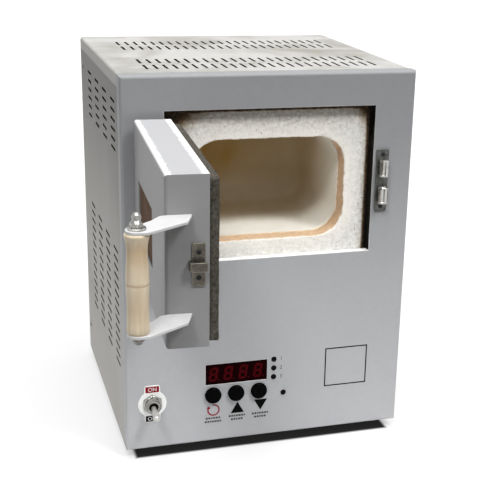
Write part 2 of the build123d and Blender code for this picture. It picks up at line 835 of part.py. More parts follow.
door = {
    "door_shell": door_shell(),
    "door_slab": door_slab(),
    "window_glass": window_glass(),
    "bracket_lower": handle_bracket(bracket_heights[0]),
    "bracket_upper": handle_bracket(bracket_heights[1]),
    "wooden_grip": wooden_grip(),
    "grip_bolt": grip_bolt(),
    "strike_plate": strike_plate(),
    "hinge_lower_door_leaf": door_leaf(hinge_centres[0]),
    "hinge_upper_door_leaf": door_leaf(hinge_centres[1]),
}

# The open door: every door piece turned about the hinge axis.
hinge_place = Pos(hinge_axis_x, hinge_axis_y, 0)
swing = hinge_place * Rot(0, 0, -door_open_angle) * hinge_place.inverse()
for name, shape in door.items():
    parts[name] = swing * shape

# The origin: on the table, under the middle of the whole as it stands.
boxes = [shape.bounding_box() for shape in parts.values()]
middle_x = (min(box.min.X for box in boxes) + max(box.max.X for box in boxes)) / 2
middle_y = (min(box.min.Y for box in boxes) + max(box.max.Y for box in boxes)) / 2
print(f"The casing's middle stands at {-middle_x:.4f}, {-middle_y:.4f} from the origin.")

os.makedirs("parts", exist_ok=True)
for name, shape in parts.items():
    export_step(Pos(-middle_x, -middle_y, 0) * shape, f"parts/{name}.step")
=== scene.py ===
"""Jewellery kiln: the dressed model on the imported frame.

Lengths are in millimetres in the classes below and in metres in the meshes. +X is to the right of
the front panel, +Y to the back and +Z up. Pieces are drawn about the casing's middle and put where
the frame's casing stands. Door pieces are drawn closed and swung open.
"""
import logging
import math
from dataclasses import dataclass
from enum import Enum
from typing import Dict, List, Optional, Sequence, Tuple

import bmesh
import bpy
import numpy as np
from mathutils import Matrix, Vector


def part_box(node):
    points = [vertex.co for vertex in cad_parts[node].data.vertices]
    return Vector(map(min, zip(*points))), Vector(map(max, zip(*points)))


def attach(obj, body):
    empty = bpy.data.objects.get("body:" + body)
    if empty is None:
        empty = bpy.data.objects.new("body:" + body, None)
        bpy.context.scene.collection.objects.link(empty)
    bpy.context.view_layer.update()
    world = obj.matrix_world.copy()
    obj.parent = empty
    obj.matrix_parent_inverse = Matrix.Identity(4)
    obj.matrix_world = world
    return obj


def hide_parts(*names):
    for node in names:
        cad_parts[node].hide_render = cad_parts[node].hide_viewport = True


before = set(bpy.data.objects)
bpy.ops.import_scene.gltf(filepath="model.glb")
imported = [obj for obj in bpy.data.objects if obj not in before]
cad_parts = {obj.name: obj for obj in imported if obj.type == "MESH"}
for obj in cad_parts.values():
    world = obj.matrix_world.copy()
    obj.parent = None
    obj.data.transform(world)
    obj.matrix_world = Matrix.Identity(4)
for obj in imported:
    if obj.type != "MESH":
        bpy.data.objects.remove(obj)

LOG = logging.getLogger("kiln")
MM = 0.001
QUARTER = math.pi / 2
Colour = Tuple[float, float, float]
Node, Socket, Tree = bpy.types.Node, bpy.types.NodeSocket, bpy.types.NodeTree
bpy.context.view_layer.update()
PANEL_LOW, PANEL_HIGH = (np.array(corner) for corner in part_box("front_panel"))
FRONT = -116.0
CASING_MIDDLE = np.array([(PANEL_LOW[0] + PANEL_HIGH[0]) / 2 / MM, PANEL_LOW[1] / MM - FRONT, 0.0])
HINGE = np.array([-86.4, -120.2])
OPEN_ANGLE = math.radians(93.3)
RIGHT, OUT, UP = (1, 0, 0), (0, -1, 0), (0, 0, 1)
MERGE_DISTANCE = 2e-6
POINT_RADIUS = 1e-6
HASH_STEPS = np.array([73856093, 19349663, 83492791], dtype=np.uint64)
HASH_SEED = (2654435761, 97)
HASH_SPREAD = (6364136223846793005, 1442695040888963407)


class Body(Enum):
    """The rigid bodies that pieces ride on."""

    CASING = "casing"
    DOOR = "door"
    LEVER = "switch_lever"
    BUTTON_LEFT = "button_left"
    BUTTON_MIDDLE = "button_middle"
    BUTTON_RIGHT = "button_right"
    BALL_UPPER = "catch_ball_upper"
    BALL_LOWER = "catch_ball_lower"


# ---------------------------------------------------------------- shapes


def unit(vector: Sequence[float]) -> np.ndarray:
    """Returns the vector at length one."""
    v = np.asarray(vector, dtype=float)
    return v / np.linalg.norm(v)


def turn(steps: int) -> np.ndarray:
    """Returns equal angles round a full turn, without the last that meets the first."""
    return np.linspace(0.0, 2 * math.pi, steps, endpoint=False)


def ramped(value: np.ndarray, reach: float = 1.0) -> np.ndarray:
    """Returns 1 where the value is 0 or less, falling straight to 0 at the reach."""
    return np.clip(1 - value / reach, 0, 1)


def value_noise(points: np.ndarray, scale: float, seed: int = 0) -> np.ndarray:
    """Smooth random values from -1 to 1, from random numbers on a cubic lattice.

    Each point's eight lattice neighbours give hashed numbers, blended with 3t^2 - 2t^3 on each
    axis.

    Args:
        points: Places in millimetres, with a last axis of three.
        scale: Lattice pitch in millimetres.
        seed: Picks another field.

    Returns:
        One value for each point.
    """
    p = np.asarray(points, dtype=float) / scale
    low = np.floor(p)
    t = p - low
    w = t * t * (3.0 - 2.0 * t)
    cell = low.astype(np.int64).astype(np.uint64)
    total = np.zeros(p.shape[:-1])
    for corner in range(8):
        step = np.array([corner & 1, corner >> 1 & 1, corner >> 2 & 1], dtype=np.uint64)
        c = (cell + step) * HASH_STEPS
        mixed = c[..., 0] ^ c[..., 1] ^ c[..., 2] ^ np.uint64(seed * HASH_SEED[0] + HASH_SEED[1])
        mixed = mixed * np.uint64(HASH_SPREAD[0])
        mixed = (mixed ^ (mixed >> np.uint64(29))) * np.uint64(HASH_SPREAD[1])
        value = (mixed >> np.uint64(40)).astype(float) / float(1 << 24)
        weight = np.prod(np.where(step.astype(bool), w, 1.0 - w), axis=-1)
        total += weight * value
    return 2.0 * total - 1.0


def smoothed(values: np.ndarray, width: int) -> np.ndarray:
    """Averages a row over a bell-shaped window, which shortens it by the window less one."""
    bell = np.hanning(width)
    return np.convolve(values, bell / bell.sum(), mode="valid")


def rounded_rectangle(
    width: float, height: float, radius: float, per_side: int = 12, per_corner: int = 10,
    centre: Tuple[float, float] = (0.0, 0.0),
) -> np.ndarray:
    """Outline of a rectangle with round corners, anticlockwise from the lower right side.

    Each corner is a quarter circle about a centre one radius in from both sides, and each side a
    straight run of equal steps between the corners.

    Args:
        width: Full width.
        height: Full height.
        radius: Corner radius.
        per_side: Steps on each straight side.
        per_corner: Steps on each corner.
        centre: Middle of the rectangle.

    Returns:
        Points in two columns, first column across and second column up.
    """
    cx, cz = width / 2 - radius, height / 2 - radius
    corners = np.array([(cx, -cz), (cx, cz), (-cx, cz), (-cx, -cz)])
    rows = []
    for index, corner in enumerate(corners):
        start = (index - 1) * QUARTER
        angle = start + np.linspace(0.0, QUARTER, per_corner + 1)
        rows.append(corner + radius * np.stack([np.cos(angle), np.sin(angle)], -1))
        reach = radius * np.array([math.cos(start + QUARTER), math.sin(start + QUARTER)])
        a, b = corner + reach, corners[(index + 1) % 4] + reach
        rows.append(a + (b - a) * np.linspace(0.0, 1.0, per_side + 1)[1:-1, None])
    return np.concatenate(rows) + np.array(centre)


def hexagon_radius(angle: np.ndarray, across_flats: float) -> np.ndarray:
    """Distance from a hexagon's axis to its side: half the flats over the cosine in each sixth."""
    sector = np.mod(angle, math.pi / 3) - math.pi / 6
    return across_flats / 2 / np.cos(sector)


def swing_open(points: np.ndarray) -> np.ndarray:
    """Turns points of the closed door about the upright hinge axis by minus the open angle."""
    c, s = math.cos(-OPEN_ANGLE), math.sin(-OPEN_ANGLE)
    flat = points[..., :2] - HINGE
    swung = np.stack([flat[..., 0] * c - flat[..., 1] * s, flat[..., 0] * s + flat[..., 1] * c], -1)
    return np.concatenate([swung + HINGE, points[..., 2:]], -1)


class Placement:
    """Where a piece drawn in millimetres stands in the row frame."""

    def __init__(
        self, origin: Sequence[float], across: Sequence[float] = RIGHT, up: Sequence[float] = UP,
        swung: bool = False,
    ) -> None:
        """Keeps an origin and three square directions.

        Args:
            origin: Place of the piece's own origin, in millimetres.
            across: Direction of its first axis.
            up: Direction of its third axis.
            swung: True for a door piece, drawn closed.
        """
        self.origin = np.asarray(origin, dtype=float)
        self.x = unit(across)
        self.z = unit(up)
        self.y = np.cross(self.z, self.x)
        self.swung = swung

    @classmethod
    def on_panel(cls, x: float, z: float, gap: float = 0.0) -> "Placement":
        """A place in front of the panel by a gap, looking out, its first two axes right and up."""
        return cls((x, FRONT - gap, z), RIGHT, OUT)

    def put(self, points: np.ndarray) -> np.ndarray:
        """Turns own points into row points in metres.

        Args:
            points: Places with a last axis of three, in millimetres.

        Returns:
            The same places in the row frame, in metres.
        """
        p = np.asarray(points, dtype=float)
        placed = self.origin + p[..., :1] * self.x + p[..., 1:2] * self.y + p[..., 2:3] * self.z
        return ((swing_open(placed) if self.swung else placed) + CASING_MIDDLE) * MM


WORLD = Placement((0, 0, 0))
SWUNG = Placement((0, 0, 0), swung=True)


class Piece:
    """A mesh object made from whole arrays of points, then dressed and put on a body."""

    def __init__(
        self, name: str, points: np.ndarray, faces: List[Sequence[int]],
        outward: Optional[Sequence[float]] = None,
    ) -> None:
        """Makes the mesh, joins its doubled points and turns its faces outwards.

        Args:
            name: Name of the object.
            points: Places in metres, in rows of three.
            faces: Point numbers of each face.
            outward: For an open sheet, the side its faces look to.
        """
        mesh = bpy.data.meshes.new(name)
        mesh.from_pydata(points.reshape(-1, 3).tolist(), [], [list(f) for f in faces])
        bm = bmesh.new()
        bm.from_mesh(mesh)
        bmesh.ops.remove_doubles(bm, verts=bm.verts, dist=MERGE_DISTANCE)
        bmesh.ops.recalc_face_normals(bm, faces=bm.faces)
        if outward is not None:
            bm.normal_update()
            mean = sum((f.normal * f.calc_area() for f in bm.faces), start=Vector((0.0, 0.0, 0.0)))
            if mean.dot(Vector(outward)) < 0:
                bmesh.ops.reverse_faces(bm, faces=bm.faces)
        bm.to_mesh(mesh)
        bm.free()
        self.mesh = mesh
        self.object = bpy.data.objects.new(name, mesh)
        bpy.context.scene.collection.objects.link(self.object)
        self.smooth(38.0)

    def smooth(self, angle: float) -> "Piece":
        """Shades the piece smooth, and sharp where faces meet at more than the angle in degrees."""
        count = len(self.mesh.polygons)
        self.mesh.polygons.foreach_set("use_smooth", np.ones(count, dtype=bool))
        self.mesh.set_sharp_from_angle(angle=math.radians(angle))
        return self

    def bevel(self, width: float, segments: int = 3, angle: float = 35.0) -> "Piece":
        """Rounds the edges that are sharper than the angle.

        Args:
            width: Width of the rounding in millimetres.
            segments: Steps of the rounding.
            angle: Least angle of an edge in degrees.

        Returns:
            The piece.
        """
        modifier = self.object.modifiers.new("edge rounding", "BEVEL")
        modifier.width = width * MM
        modifier.segments = segments
        modifier.limit_method = "ANGLE"
        modifier.angle_limit = math.radians(angle)
        modifier.harden_normals = False
        return self

    def mask(self, name: str, values: np.ndarray) -> "Piece":
        """Stores one number for each point, for the finish to read."""
        layer = self.mesh.attributes.new(name, "FLOAT", "POINT")
        layer.data.foreach_set("value", np.asarray(values, dtype=np.float32).ravel())
        return self

    def points(self) -> np.ndarray:
        """Returns the mesh's points in millimetres about the casing's middle."""
        flat = np.empty(len(self.mesh.vertices) * 3)
        self.mesh.vertices.foreach_get("co", flat)
        return flat.reshape(-1, 3) / MM - CASING_MIDDLE

    def dress(self, finish: "Finish", slot: str) -> "Piece":
        """Gives the piece its finish."""
        self.mesh.materials.clear()
        self.mesh.materials.append(finish.material())
        return self

    def ride(self, body: Body, *replaced: str) -> "Piece":
        """Puts the piece on a body, in place of the named nodes if there are any.

        Args:
            body: The rigid body.
            *replaced: Nodes that the piece stands in for.

        Returns:
            The piece.
        """
        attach(self.object, body.value)
        if replaced:
            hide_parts(*replaced)
        count = len(self.mesh.vertices)
        LOG.info("%s rides on %s with %d points", self.object.name, body.value, count)
        return self


def grid_faces(
    rows: int, columns: int, wrap_rows: bool, wrap_columns: bool, start: int = 0,
) -> List[List[int]]:
    """Quads of a grid of points numbered row by row.

    Args:
        rows: Number of rows.
        columns: Number of points in a row.
        wrap_rows: True to join the last row to the first.
        wrap_columns: True to join the end of each row to its start.
        start: Number of the first point.

    Returns:
        The four point numbers of each quad.
    """
    i = np.arange(rows if wrap_rows else rows - 1)[:, None]
    j = np.arange(columns if wrap_columns else columns - 1)[None, :]
    i2, j2 = (i + 1) % rows, (j + 1) % columns
    quads = np.stack([i * columns + j, i2 * columns + j, i2 * columns + j2, i * columns + j2], -1)
    return (quads.reshape(-1, 4) + start).tolist()


def rings(radius: np.ndarray, height: np.ndarray, steps: int) -> np.ndarray:
    """Rings about the third axis: a row's point at angle a stands at (r cos a, r sin a, h).

    Args:
        radius: One radius for each row, or one for each point of each row.
        height: Height of each row.
        steps: Points in a row.

    Returns:
        A grid of places with a last axis of three.
    """
    angle = turn(steps)
    r = np.asarray(radius, dtype=float).reshape(len(radius), -1)
    h = np.repeat(np.asarray(height, dtype=float)[:, None], steps, axis=1)
    return np.stack([r * np.cos(angle), r * np.sin(angle), h], -1)


def ring_piece(name: str, grid: np.ndarray, *places: Placement) -> Piece:
    """A piece from rings of points, drawn once at each place, with a face over each open end.

    Args:
        name: Name of the piece.
        grid: Rows of points round the third axis.
        *places: Where the copies stand.

    Returns:
        The piece.
    """
    rows, steps = grid.shape[:2]
    points, faces = [], []
    for index, place in enumerate(places):
        start = index * rows * steps
        points.append(place.put(grid).reshape(-1, 3))
        faces += grid_faces(rows, steps, False, True, start)
        for row in (0, rows - 1):
            if np.abs(grid[row, 0, :2]).max() > POINT_RADIUS:
                first = start + row * steps
                faces.append(list(range(first, first + steps)))
    return Piece(name, np.concatenate(points), faces)


def turned(
    name: str, profile: Sequence[Tuple[float, float]], *places: Placement, steps: int = 64,
) -> Piece:
    """A turned piece: each point of the profile, a radius and a height, is carried round the axis.

    Args:
        name: Name of the piece.
        profile: Radius and height of each point, from one end to the other.
        *places: Where it stands, its axis along the placement's third direction.
        steps: Points round the axis.

    Returns:
        The piece, its ends closed.
    """
    line = np.asarray(profile, dtype=float)
    return ring_piece(name, rings(line[:, 0], line[:, 1], steps), *places)


def upright(loops: np.ndarray, depths: Sequence[float]) -> np.ndarray:
    """Stands flat outlines upright: each point (across, up) goes to (across, depth, up).

    Args:
        loops: One outline for all depths, or one for each.
        depths: Place along Y of each row.

    Returns:
        A grid of places with a last axis of three.
    """
    y = np.asarray(depths, dtype=float)[:, None]
    shape = (len(y), np.shape(loops)[-2])
    flat = np.broadcast_to(loops, shape + (2,))
    return np.stack([flat[..., 0], np.broadcast_to(y, shape), flat[..., 1]], -1)


def slab_from_outline(
    name: str, outline: np.ndarray, low: float, high: float, place: Placement,
) -> Piece:
    """A plate: an outline in the placement's first two directions, from one height to another.

    Args:
        name: Name of the piece.
        outline: Points in two columns.
        low: Height of one face.
        high: Height of the other.
        place: Where it stands.

    Returns:
        The piece.
    """
    flat = np.asarray(outline, dtype=float)
    count = len(flat)
    loops = np.stack([np.column_stack([flat, np.full(count, h)]) for h in (low, high)])
    faces = grid_faces(2, count, False, True)
    faces += [list(range(count)), list(range(count, 2 * count))]
    return Piece(name, place.put(loops), faces)


def flat_marks(name: str, outlines: Sequence[np.ndarray], place: Placement) -> Piece:
    """Thin printed marks: each outline is one flat face in the placement's first two directions.

    Args:
        name: Name of the piece.
        outlines: Points in two columns, for each mark.
        place: Where they are printed; their faces look along its third direction.

    Returns:
        The piece.
    """
    points, faces, start = [], [], 0
    for outline in outlines:
        flat = np.asarray(outline, dtype=float)
        points.append(np.column_stack([flat, np.zeros(len(flat))]))
        faces.append(list(range(start, start + len(flat))))
        start += len(flat)
    return Piece(name, place.put(np.concatenate(points)), faces, place.z)


def box_outline(x0: float, z0: float, x1: float, z1: float) -> np.ndarray:
    """Returns the four corners of a rectangle from its low and its high corner."""
    return np.array([[x0, z0], [x1, z0], [x1, z1], [x0, z1]])


def screw_heads(
    name: str, seats: Sequence[Placement], radius: float, height: float, recess: float = 0.55,
) -> Piece:
    """Pan head screws with a cross recess, all in one piece.

    On a polar grid the height is h * (1 - 0.55 (r/R)^3) inside the head and falls to zero at the
    rim, less a cross of two square slots.

    Args:
        name: Name of the piece.
        seats: Where each head sits, its axis along the placement's third direction.
        radius: Head radius.
        height: Head height.
        recess: Depth of the cross as a share of the height.

    Returns:
        The piece.
    """
    crown_drop, slot_half, slot_reach = 0.55, 0.15 * radius, 0.54 * radius
    shares = [0, 0.1, 0.16, 0.22, 0.32, 0.42, 0.5, 0.56, 0.66, 0.78, 0.9, 0.97, 1.0, 1.0]
    r = radius * np.array(shares)
    lift = height * (1 - crown_drop * (r / radius) ** 3)
    lift[-1] = 0.0
    grid = rings(r, lift, 40)
    across = np.abs(grid[..., :2])
    cross = (across.min(-1) < slot_half) & (across.max(-1) < slot_reach)
    grid[..., 2] = np.where(cross, grid[..., 2] - recess * height, grid[..., 2])
    return ring_piece(name, grid, *seats)


def lettering(name: str, body: str, height: float, place: Placement) -> Piece:
    """Flat letters made into a mesh: the plain built-in typeface, centred.

    Args:
        name: Name of the piece.
        body: The letters.
        height: Height of the capitals.
        place: Where they are printed; their faces look along its third direction.

    Returns:
        The piece.
    """
    curve = bpy.data.curves.new(name + " line", "FONT")
    curve.body = body
    curve.align_x = "CENTER"
    curve.align_y = "CENTER"
    maker = bpy.data.objects.new(name + " line", curve)
    bpy.context.scene.collection.objects.link(maker)
    bpy.context.view_layer.update()
    drawn = bpy.data.meshes.new_from_object(maker)
    flat = np.empty(len(drawn.vertices) * 3)
    drawn.vertices.foreach_get("co", flat)
    flat = flat.reshape(-1, 3)
    middle = (flat.max(0) + flat.min(0)) / 2
    flat = (flat - middle) * (height / (flat[:, 1].max() - flat[:, 1].min()))
    faces = [list(p.vertices) for p in drawn.polygons]
    bpy.data.objects.remove(maker)
    bpy.data.meshes.remove(drawn)
    return Piece(name, place.put(flat), faces, place.z)


# ---------------------------------------------------------------- shader groups and finishes


def grey(value: float) -> Colour:
    """Returns a grey of the value."""
    return (value, value, value)


class Bench:
    """Places and joins nodes in one tree."""

    def __init__(self, tree: Tree) -> None:
        """Keeps the tree."""
        self.tree = tree

    @classmethod
    def cleared(cls, owner: bpy.types.ID) -> "Bench":
        """Returns a bench on the emptied tree of a material or a world."""
        owner.use_nodes = True
        owner.node_tree.nodes.clear()
        return cls(owner.node_tree)

    def add(self, kind: str, **settings: object) -> Node:
        """Adds a node and sets its properties.

        Args:
            kind: Blender's name of the node type, without the ShaderNode in front.
            **settings: Properties, or socket values under in_NUMBER.

        Returns:
            The node.
        """
        node = self.tree.nodes.new("ShaderNode" + kind)
        for key, value in settings.items():
            if key.startswith("in_"):
                node.inputs[int(key[3:])].default_value = value
            else:
                setattr(node, key, value)
        return node

    def join(self, source: Socket, target: Socket) -> None:
        """Links two sockets."""
        self.tree.links.new(source, target)

    def math(self, operation: str, a: object, b: object = 0.0, clamp: bool = False) -> Socket:
        """A math node on sockets or numbers.

        Args:
            operation: Name of the operation.
            a: First socket or number.
            b: Second socket or number.
            clamp: True to keep the result from 0 to 1.

        Returns:
            The result's socket.
        """
        node = self.add("Math", operation=operation, use_clamp=clamp)
        for socket, value in zip(node.inputs, (a, b)):
            if isinstance(value, (int, float)):
                socket.default_value = value
            else:
                self.join(value, socket)
        return node.outputs[0]

    def times(self, a: object, b: object, clamp: bool = False) -> Socket:
        """Multiplies two sockets or numbers."""
        return self.math("MULTIPLY", a, b, clamp)

    def plus(self, a: object, b: object, clamp: bool = False) -> Socket:
        """Adds two sockets or numbers."""
        return self.math("ADD", a, b, clamp)

    def minus(self, a: object, b: object) -> Socket:
        """Takes the second socket or number from the first."""
        return self.math("SUBTRACT", a, b)

    def ramp(self, factor: Socket, stops: Sequence[Tuple[float, Sequence[float]]]) -> Socket:
        """Colours along a factor.

        Args:
            factor: Socket that picks the colour.
            stops: Place and colour of each stop.

        Returns:
            The colour's socket.
        """
        node = self.add("ValToRGB")
        for element, (place, colour) in zip(node.color_ramp.elements, stops):
            element.position = place
            element.color = (*colour[:3], 1.0)
        self.join(factor, node.inputs[0])
        return node.outputs[0]

    def mix(self, factor: object, a: object, b: object, blend: str = "MIX") -> Socket:
        """Mixes two colours.

        Args:
            factor: Share of the second, a socket or a number.
            a: First socket or colour.
            b: Second socket or colour.
            blend: Way of mixing.

        Returns:
            The colour's socket.
        """
        node = self.add("Mix", data_type="RGBA", blend_type=blend)
        for socket, value in ((node.inputs[0], factor), (node.inputs[6], a), (node.inputs[7], b)):
            if isinstance(value, Socket):
                self.join(value, socket)
            elif isinstance(value, (int, float)):
                socket.default_value = value
            else:
                socket.default_value = (*value[:3], 1.0)
        return node.outputs[2]

    def between(self, value: Socket, low: float, high: float) -> Socket:
        """Maps low to 0 and high to 1 smoothly, and keeps the result there."""
        node = self.add("MapRange", interpolation_type="SMOOTHSTEP", in_1=low, in_2=high)
        self.join(value, node.inputs[0])
        return node.outputs[0]

    def place(self) -> Socket:
        """Returns Object coordinates, in metres of the row frame."""
        return self.add("TexCoord").outputs["Object"]

    def apart(self, vector: Socket) -> Sequence[Socket]:
        """Returns the three parts of a vector."""
        node = self.add("SeparateXYZ")
        self.join(vector, node.inputs[0])
        return node.outputs

    def facing(self) -> Sequence[Socket]:
        """Returns the three parts of the surface's direction."""
        return self.apart(self.add("NewGeometry").outputs["Normal"])

    def noise(self, scale: float, detail: float, vector: Optional[Socket] = None) -> Socket:
        """A noise pattern.

        Args:
            scale: Its scale.
            detail: Its number of finer layers.
            vector: Where it is read, or nothing for Object coordinates.

        Returns:
            The value's socket.
        """
        node = self.add("TexNoise", in_2=scale, in_3=detail)
        self.join(vector if vector else self.place(), node.inputs["Vector"])
        return node.outputs[0]

    def stored(self, name: str) -> Socket:
        """Returns a piece's own mask."""
        return self.add("Attribute", attribute_name=name).outputs["Fac"]

    def bump(self, height: Socket, depth: float, shader: Node) -> None:
        """Gives a shader a relief from a height, its depth in millimetres."""
        node = self.add("Bump")
        node.inputs["Strength"].default_value = 1.0
        node.inputs["Distance"].default_value = depth * MM
        self.join(height, node.inputs["Height"])
        self.join(node.outputs[0], shader.inputs["Normal"])

    def seen(self) -> Socket:
        """Returns 1 for rays of the camera and rays seen in gloss or through glass."""
        path = self.add("LightPath")
        direct = self.plus(path.outputs["Is Camera Ray"], path.outputs["Is Glossy Ray"], True)
        return self.plus(direct, path.outputs["Is Transmission Ray"], True)

    def blend(self, factor: Socket, first: Node, second: Node) -> Socket:
        """Mixes two shader nodes by a factor."""
        node = self.add("MixShader")
        self.join(factor, node.inputs[0])
        self.join(first.outputs[0], node.inputs[1])
        self.join(second.outputs[0], node.inputs[2])
        return node.outputs[0]


class SharedEffects:
    """Shader node groups that several finishes use, each built once."""

    _made: Dict[str, Tree] = {}

    @classmethod
    def _open(
        cls, name: str, inputs: Dict[str, float], outputs: Sequence[str],
    ) -> Tuple[Tree, Bench, Node, Node]:
        """Makes an empty group with float inputs and outputs.

        Args:
            name: Name of the group.
            inputs: Name and default of each input.
            outputs: Name of each output.

        Returns:
            The tree, its bench, and its input and output nodes.
        """
        tree = bpy.data.node_groups.new(name, "ShaderNodeTree")
        for label, value in inputs.items():
            socket = tree.interface.new_socket(
                label, in_out="INPUT", socket_type="NodeSocketFloat")
            socket.default_value = value
        for label in outputs:
            tree.interface.new_socket(label, in_out="OUTPUT", socket_type="NodeSocketFloat")
        cls._made[name] = tree
        start, end = tree.nodes.new("NodeGroupInput"), tree.nodes.new("NodeGroupOutput")
        return tree, Bench(tree), start, end

    @classmethod
    def speckle(cls) -> Tree:
        """Fine grain: two noises, at Scale and at a seventh of it, as Shade and as Height."""
        name, coarser, fine_share, broad_share = "fine grain", 7.0, 0.55, 0.45
        if name in cls._made:
            return cls._made[name]
        tree, bench, start, end = cls._open(
            name, {"Scale": 900.0, "Roughness": 0.6}, ("Shade", "Height"))
        place = bench.place()
        fine = bench.add("TexNoise", in_3=2.0)
        bench.join(place, fine.inputs["Vector"])
        bench.join(start.outputs["Scale"], fine.inputs["Scale"])
        bench.join(start.outputs["Roughness"], fine.inputs["Roughness"])
        broad = bench.add("TexNoise", in_3=3.0)
        bench.join(place, broad.inputs["Vector"])
        bench.join(bench.math("DIVIDE", start.outputs["Scale"], coarser), broad.inputs["Scale"])
        shade = bench.plus(
            bench.times(fine.outputs[0], fine_share), bench.times(broad.outputs[0], broad_share))
        bench.join(shade, end.inputs["Shade"])
        bench.join(fine.outputs[0], end.inputs["Height"])
        return tree

    @classmethod
    def blotches(cls) -> Tree:
        """Wide soft patches: a warped noise at Scale, steepened between Low and High."""
        name, warp = "soft patches", 0.6
        if name in cls._made:
            return cls._made[name]
        tree, bench, start, end = cls._open(
            name, {"Scale": 12.0, "Low": 0.4, "High": 0.7}, ("Mask",))
        noise = bench.add("TexNoise", in_3=4.0)
        noise.inputs["Distortion"].default_value = warp
        bench.join(bench.place(), noise.inputs["Vector"])
        bench.join(start.outputs["Scale"], noise.inputs["Scale"])
        spread = bench.minus(start.outputs["High"], start.outputs["Low"])
        above = bench.minus(noise.outputs[0], start.outputs["Low"])
        bench.join(bench.math("DIVIDE", above, spread, clamp=True), end.inputs["Mask"])
        return tree

    @classmethod
    def edges(cls) -> Tree:
        """Edge mask for wear and painted highlight: how far a rounded normal leans from the
        surface's own, broken up by noise.
        """
        name, lean_gain, edge_gain = "edge wear and painted highlight", 7.0, 1.6
        if name in cls._made:
            return cls._made[name]
        tree, bench, start, end = cls._open(name, {"Radius": 0.0008, "Breakup": 160.0}, ("Mask",))
        rounded = bench.add("Bevel", samples=4)
        bench.join(start.outputs["Radius"], rounded.inputs["Radius"])
        dot = bench.add("VectorMath", operation="DOT_PRODUCT")
        bench.join(rounded.outputs[0], dot.inputs[0])
        bench.join(bench.add("NewGeometry").outputs["Normal"], dot.inputs[1])
        lean = bench.minus(1.0, dot.outputs["Value"])
        noise = bench.add("TexNoise", in_3=3.0)
        bench.join(bench.place(), noise.inputs["Vector"])
        bench.join(start.outputs["Breakup"], noise.inputs["Scale"])
        mask = bench.times(bench.times(lean, lean_gain, clamp=True), noise.outputs[0])
        bench.join(bench.times(mask, edge_gain, clamp=True), end.inputs["Mask"])
        return tree

    @classmethod
    def place(cls, bench: Bench, tree: Tree, **values: float) -> Node:
        """Puts a group into a finish with its own values.

        Args:
            bench: The finish's bench.
            tree: The group.
            **values: Values of its inputs.

        Returns:
            The group node.
        """
        node = bench.tree.nodes.new("ShaderNodeGroup")
        node.node_tree = tree
        for label, value in values.items():
            node.inputs[label].default_value = value
        return node


@dataclass(frozen=True)
class Finish:
    """A finish with fine grain, soft patches, and edges worn on metal, painted highlight on paint.

    Attributes:
        name: Name of the material.
        base: Main colour, linear.
        shade: Colour of the darker grain.
        grain: Scale of the fine grain, dark and pale at the values of grain_stops.
        bump: Depth of the grain in millimetres.
        patch: Colour of the soft patches, with their share and scale.
        patch_low: Noise value where they begin; they are full patch_rise above it.
        edge: Colour of the edges, worn on metal and a painted highlight on paint, with their share
        and their radius in millimetres.
        specular: Strength of the gloss.
    """

    name: str
    base: Colour
    shade: Colour
    metallic: float = 0.0
    roughness: float = 0.5
    grain: float = 900.0
    bump: float = 0.02
    patch: Colour = grey(0.5)
    patch_share: float = 0.0
    patch_scale: float = 12.0
    patch_low: float = 0.4
    patch_rise: float = 0.3
    edge: Colour = grey(0.9)
    edge_share: float = 0.0
    edge_radius: float = 0.8
    specular: float = 0.5
    grain_stops: Tuple[float, float] = (0.36, 0.62)

    def material(self) -> bpy.types.Material:
        """Returns the material, made the first time it is asked for."""
        found = bpy.data.materials.get(self.name)
        return found if found else self._build()

    def _build(self) -> bpy.types.Material:
        """Makes the material: one main shader, with the finish's own colour.

        Returns:
            The material.
        """
        material = bpy.data.materials.new(self.name)
        bench = Bench.cleared(material)
        shader = bench.add("BsdfPrincipled")
        out = bench.add("OutputMaterial")
        bench.join(shader.outputs[0], out.inputs[0])
        shader.inputs["Metallic"].default_value = self.metallic
        shader.inputs["Roughness"].default_value = self.roughness
        shader.inputs["Specular IOR Level"].default_value = self.specular
        bench.join(self._colour(bench, shader), shader.inputs["Base Color"])
        return material

    def _colour(self, bench: Bench, shader: Node) -> Socket:
        """Adds the grain with its bump, the soft patches and the edges' wear and painted highlight.

        Args:
            bench: The material's bench.
            shader: Its main shader.

        Returns:
            The colour's socket.
        """
        grain = SharedEffects.place(bench, SharedEffects.speckle(), Scale=self.grain)
        stops = tuple(zip(self.grain_stops, (self.shade, self.base)))
        colour = bench.ramp(grain.outputs["Shade"], stops)
        if self.bump:
            bench.bump(grain.outputs["Height"], self.bump, shader)
        if self.patch_share:
            patches = SharedEffects.place(
                bench, SharedEffects.blotches(), Scale=self.patch_scale, Low=self.patch_low,
                High=self.patch_low + self.patch_rise)
            share = bench.times(patches.outputs[0], self.patch_share)
            colour = bench.mix(share, colour, self.patch)
        # Pale edges: wear on the metal finishes, a painted highlight on the paints.
        if self.edge_share:
            edges = SharedEffects.place(
                bench, SharedEffects.edges(), Radius=self.edge_radius * MM)
            share = bench.times(edges.outputs[0], self.edge_share)
            colour = bench.mix(share, colour, self.edge)
        return colour


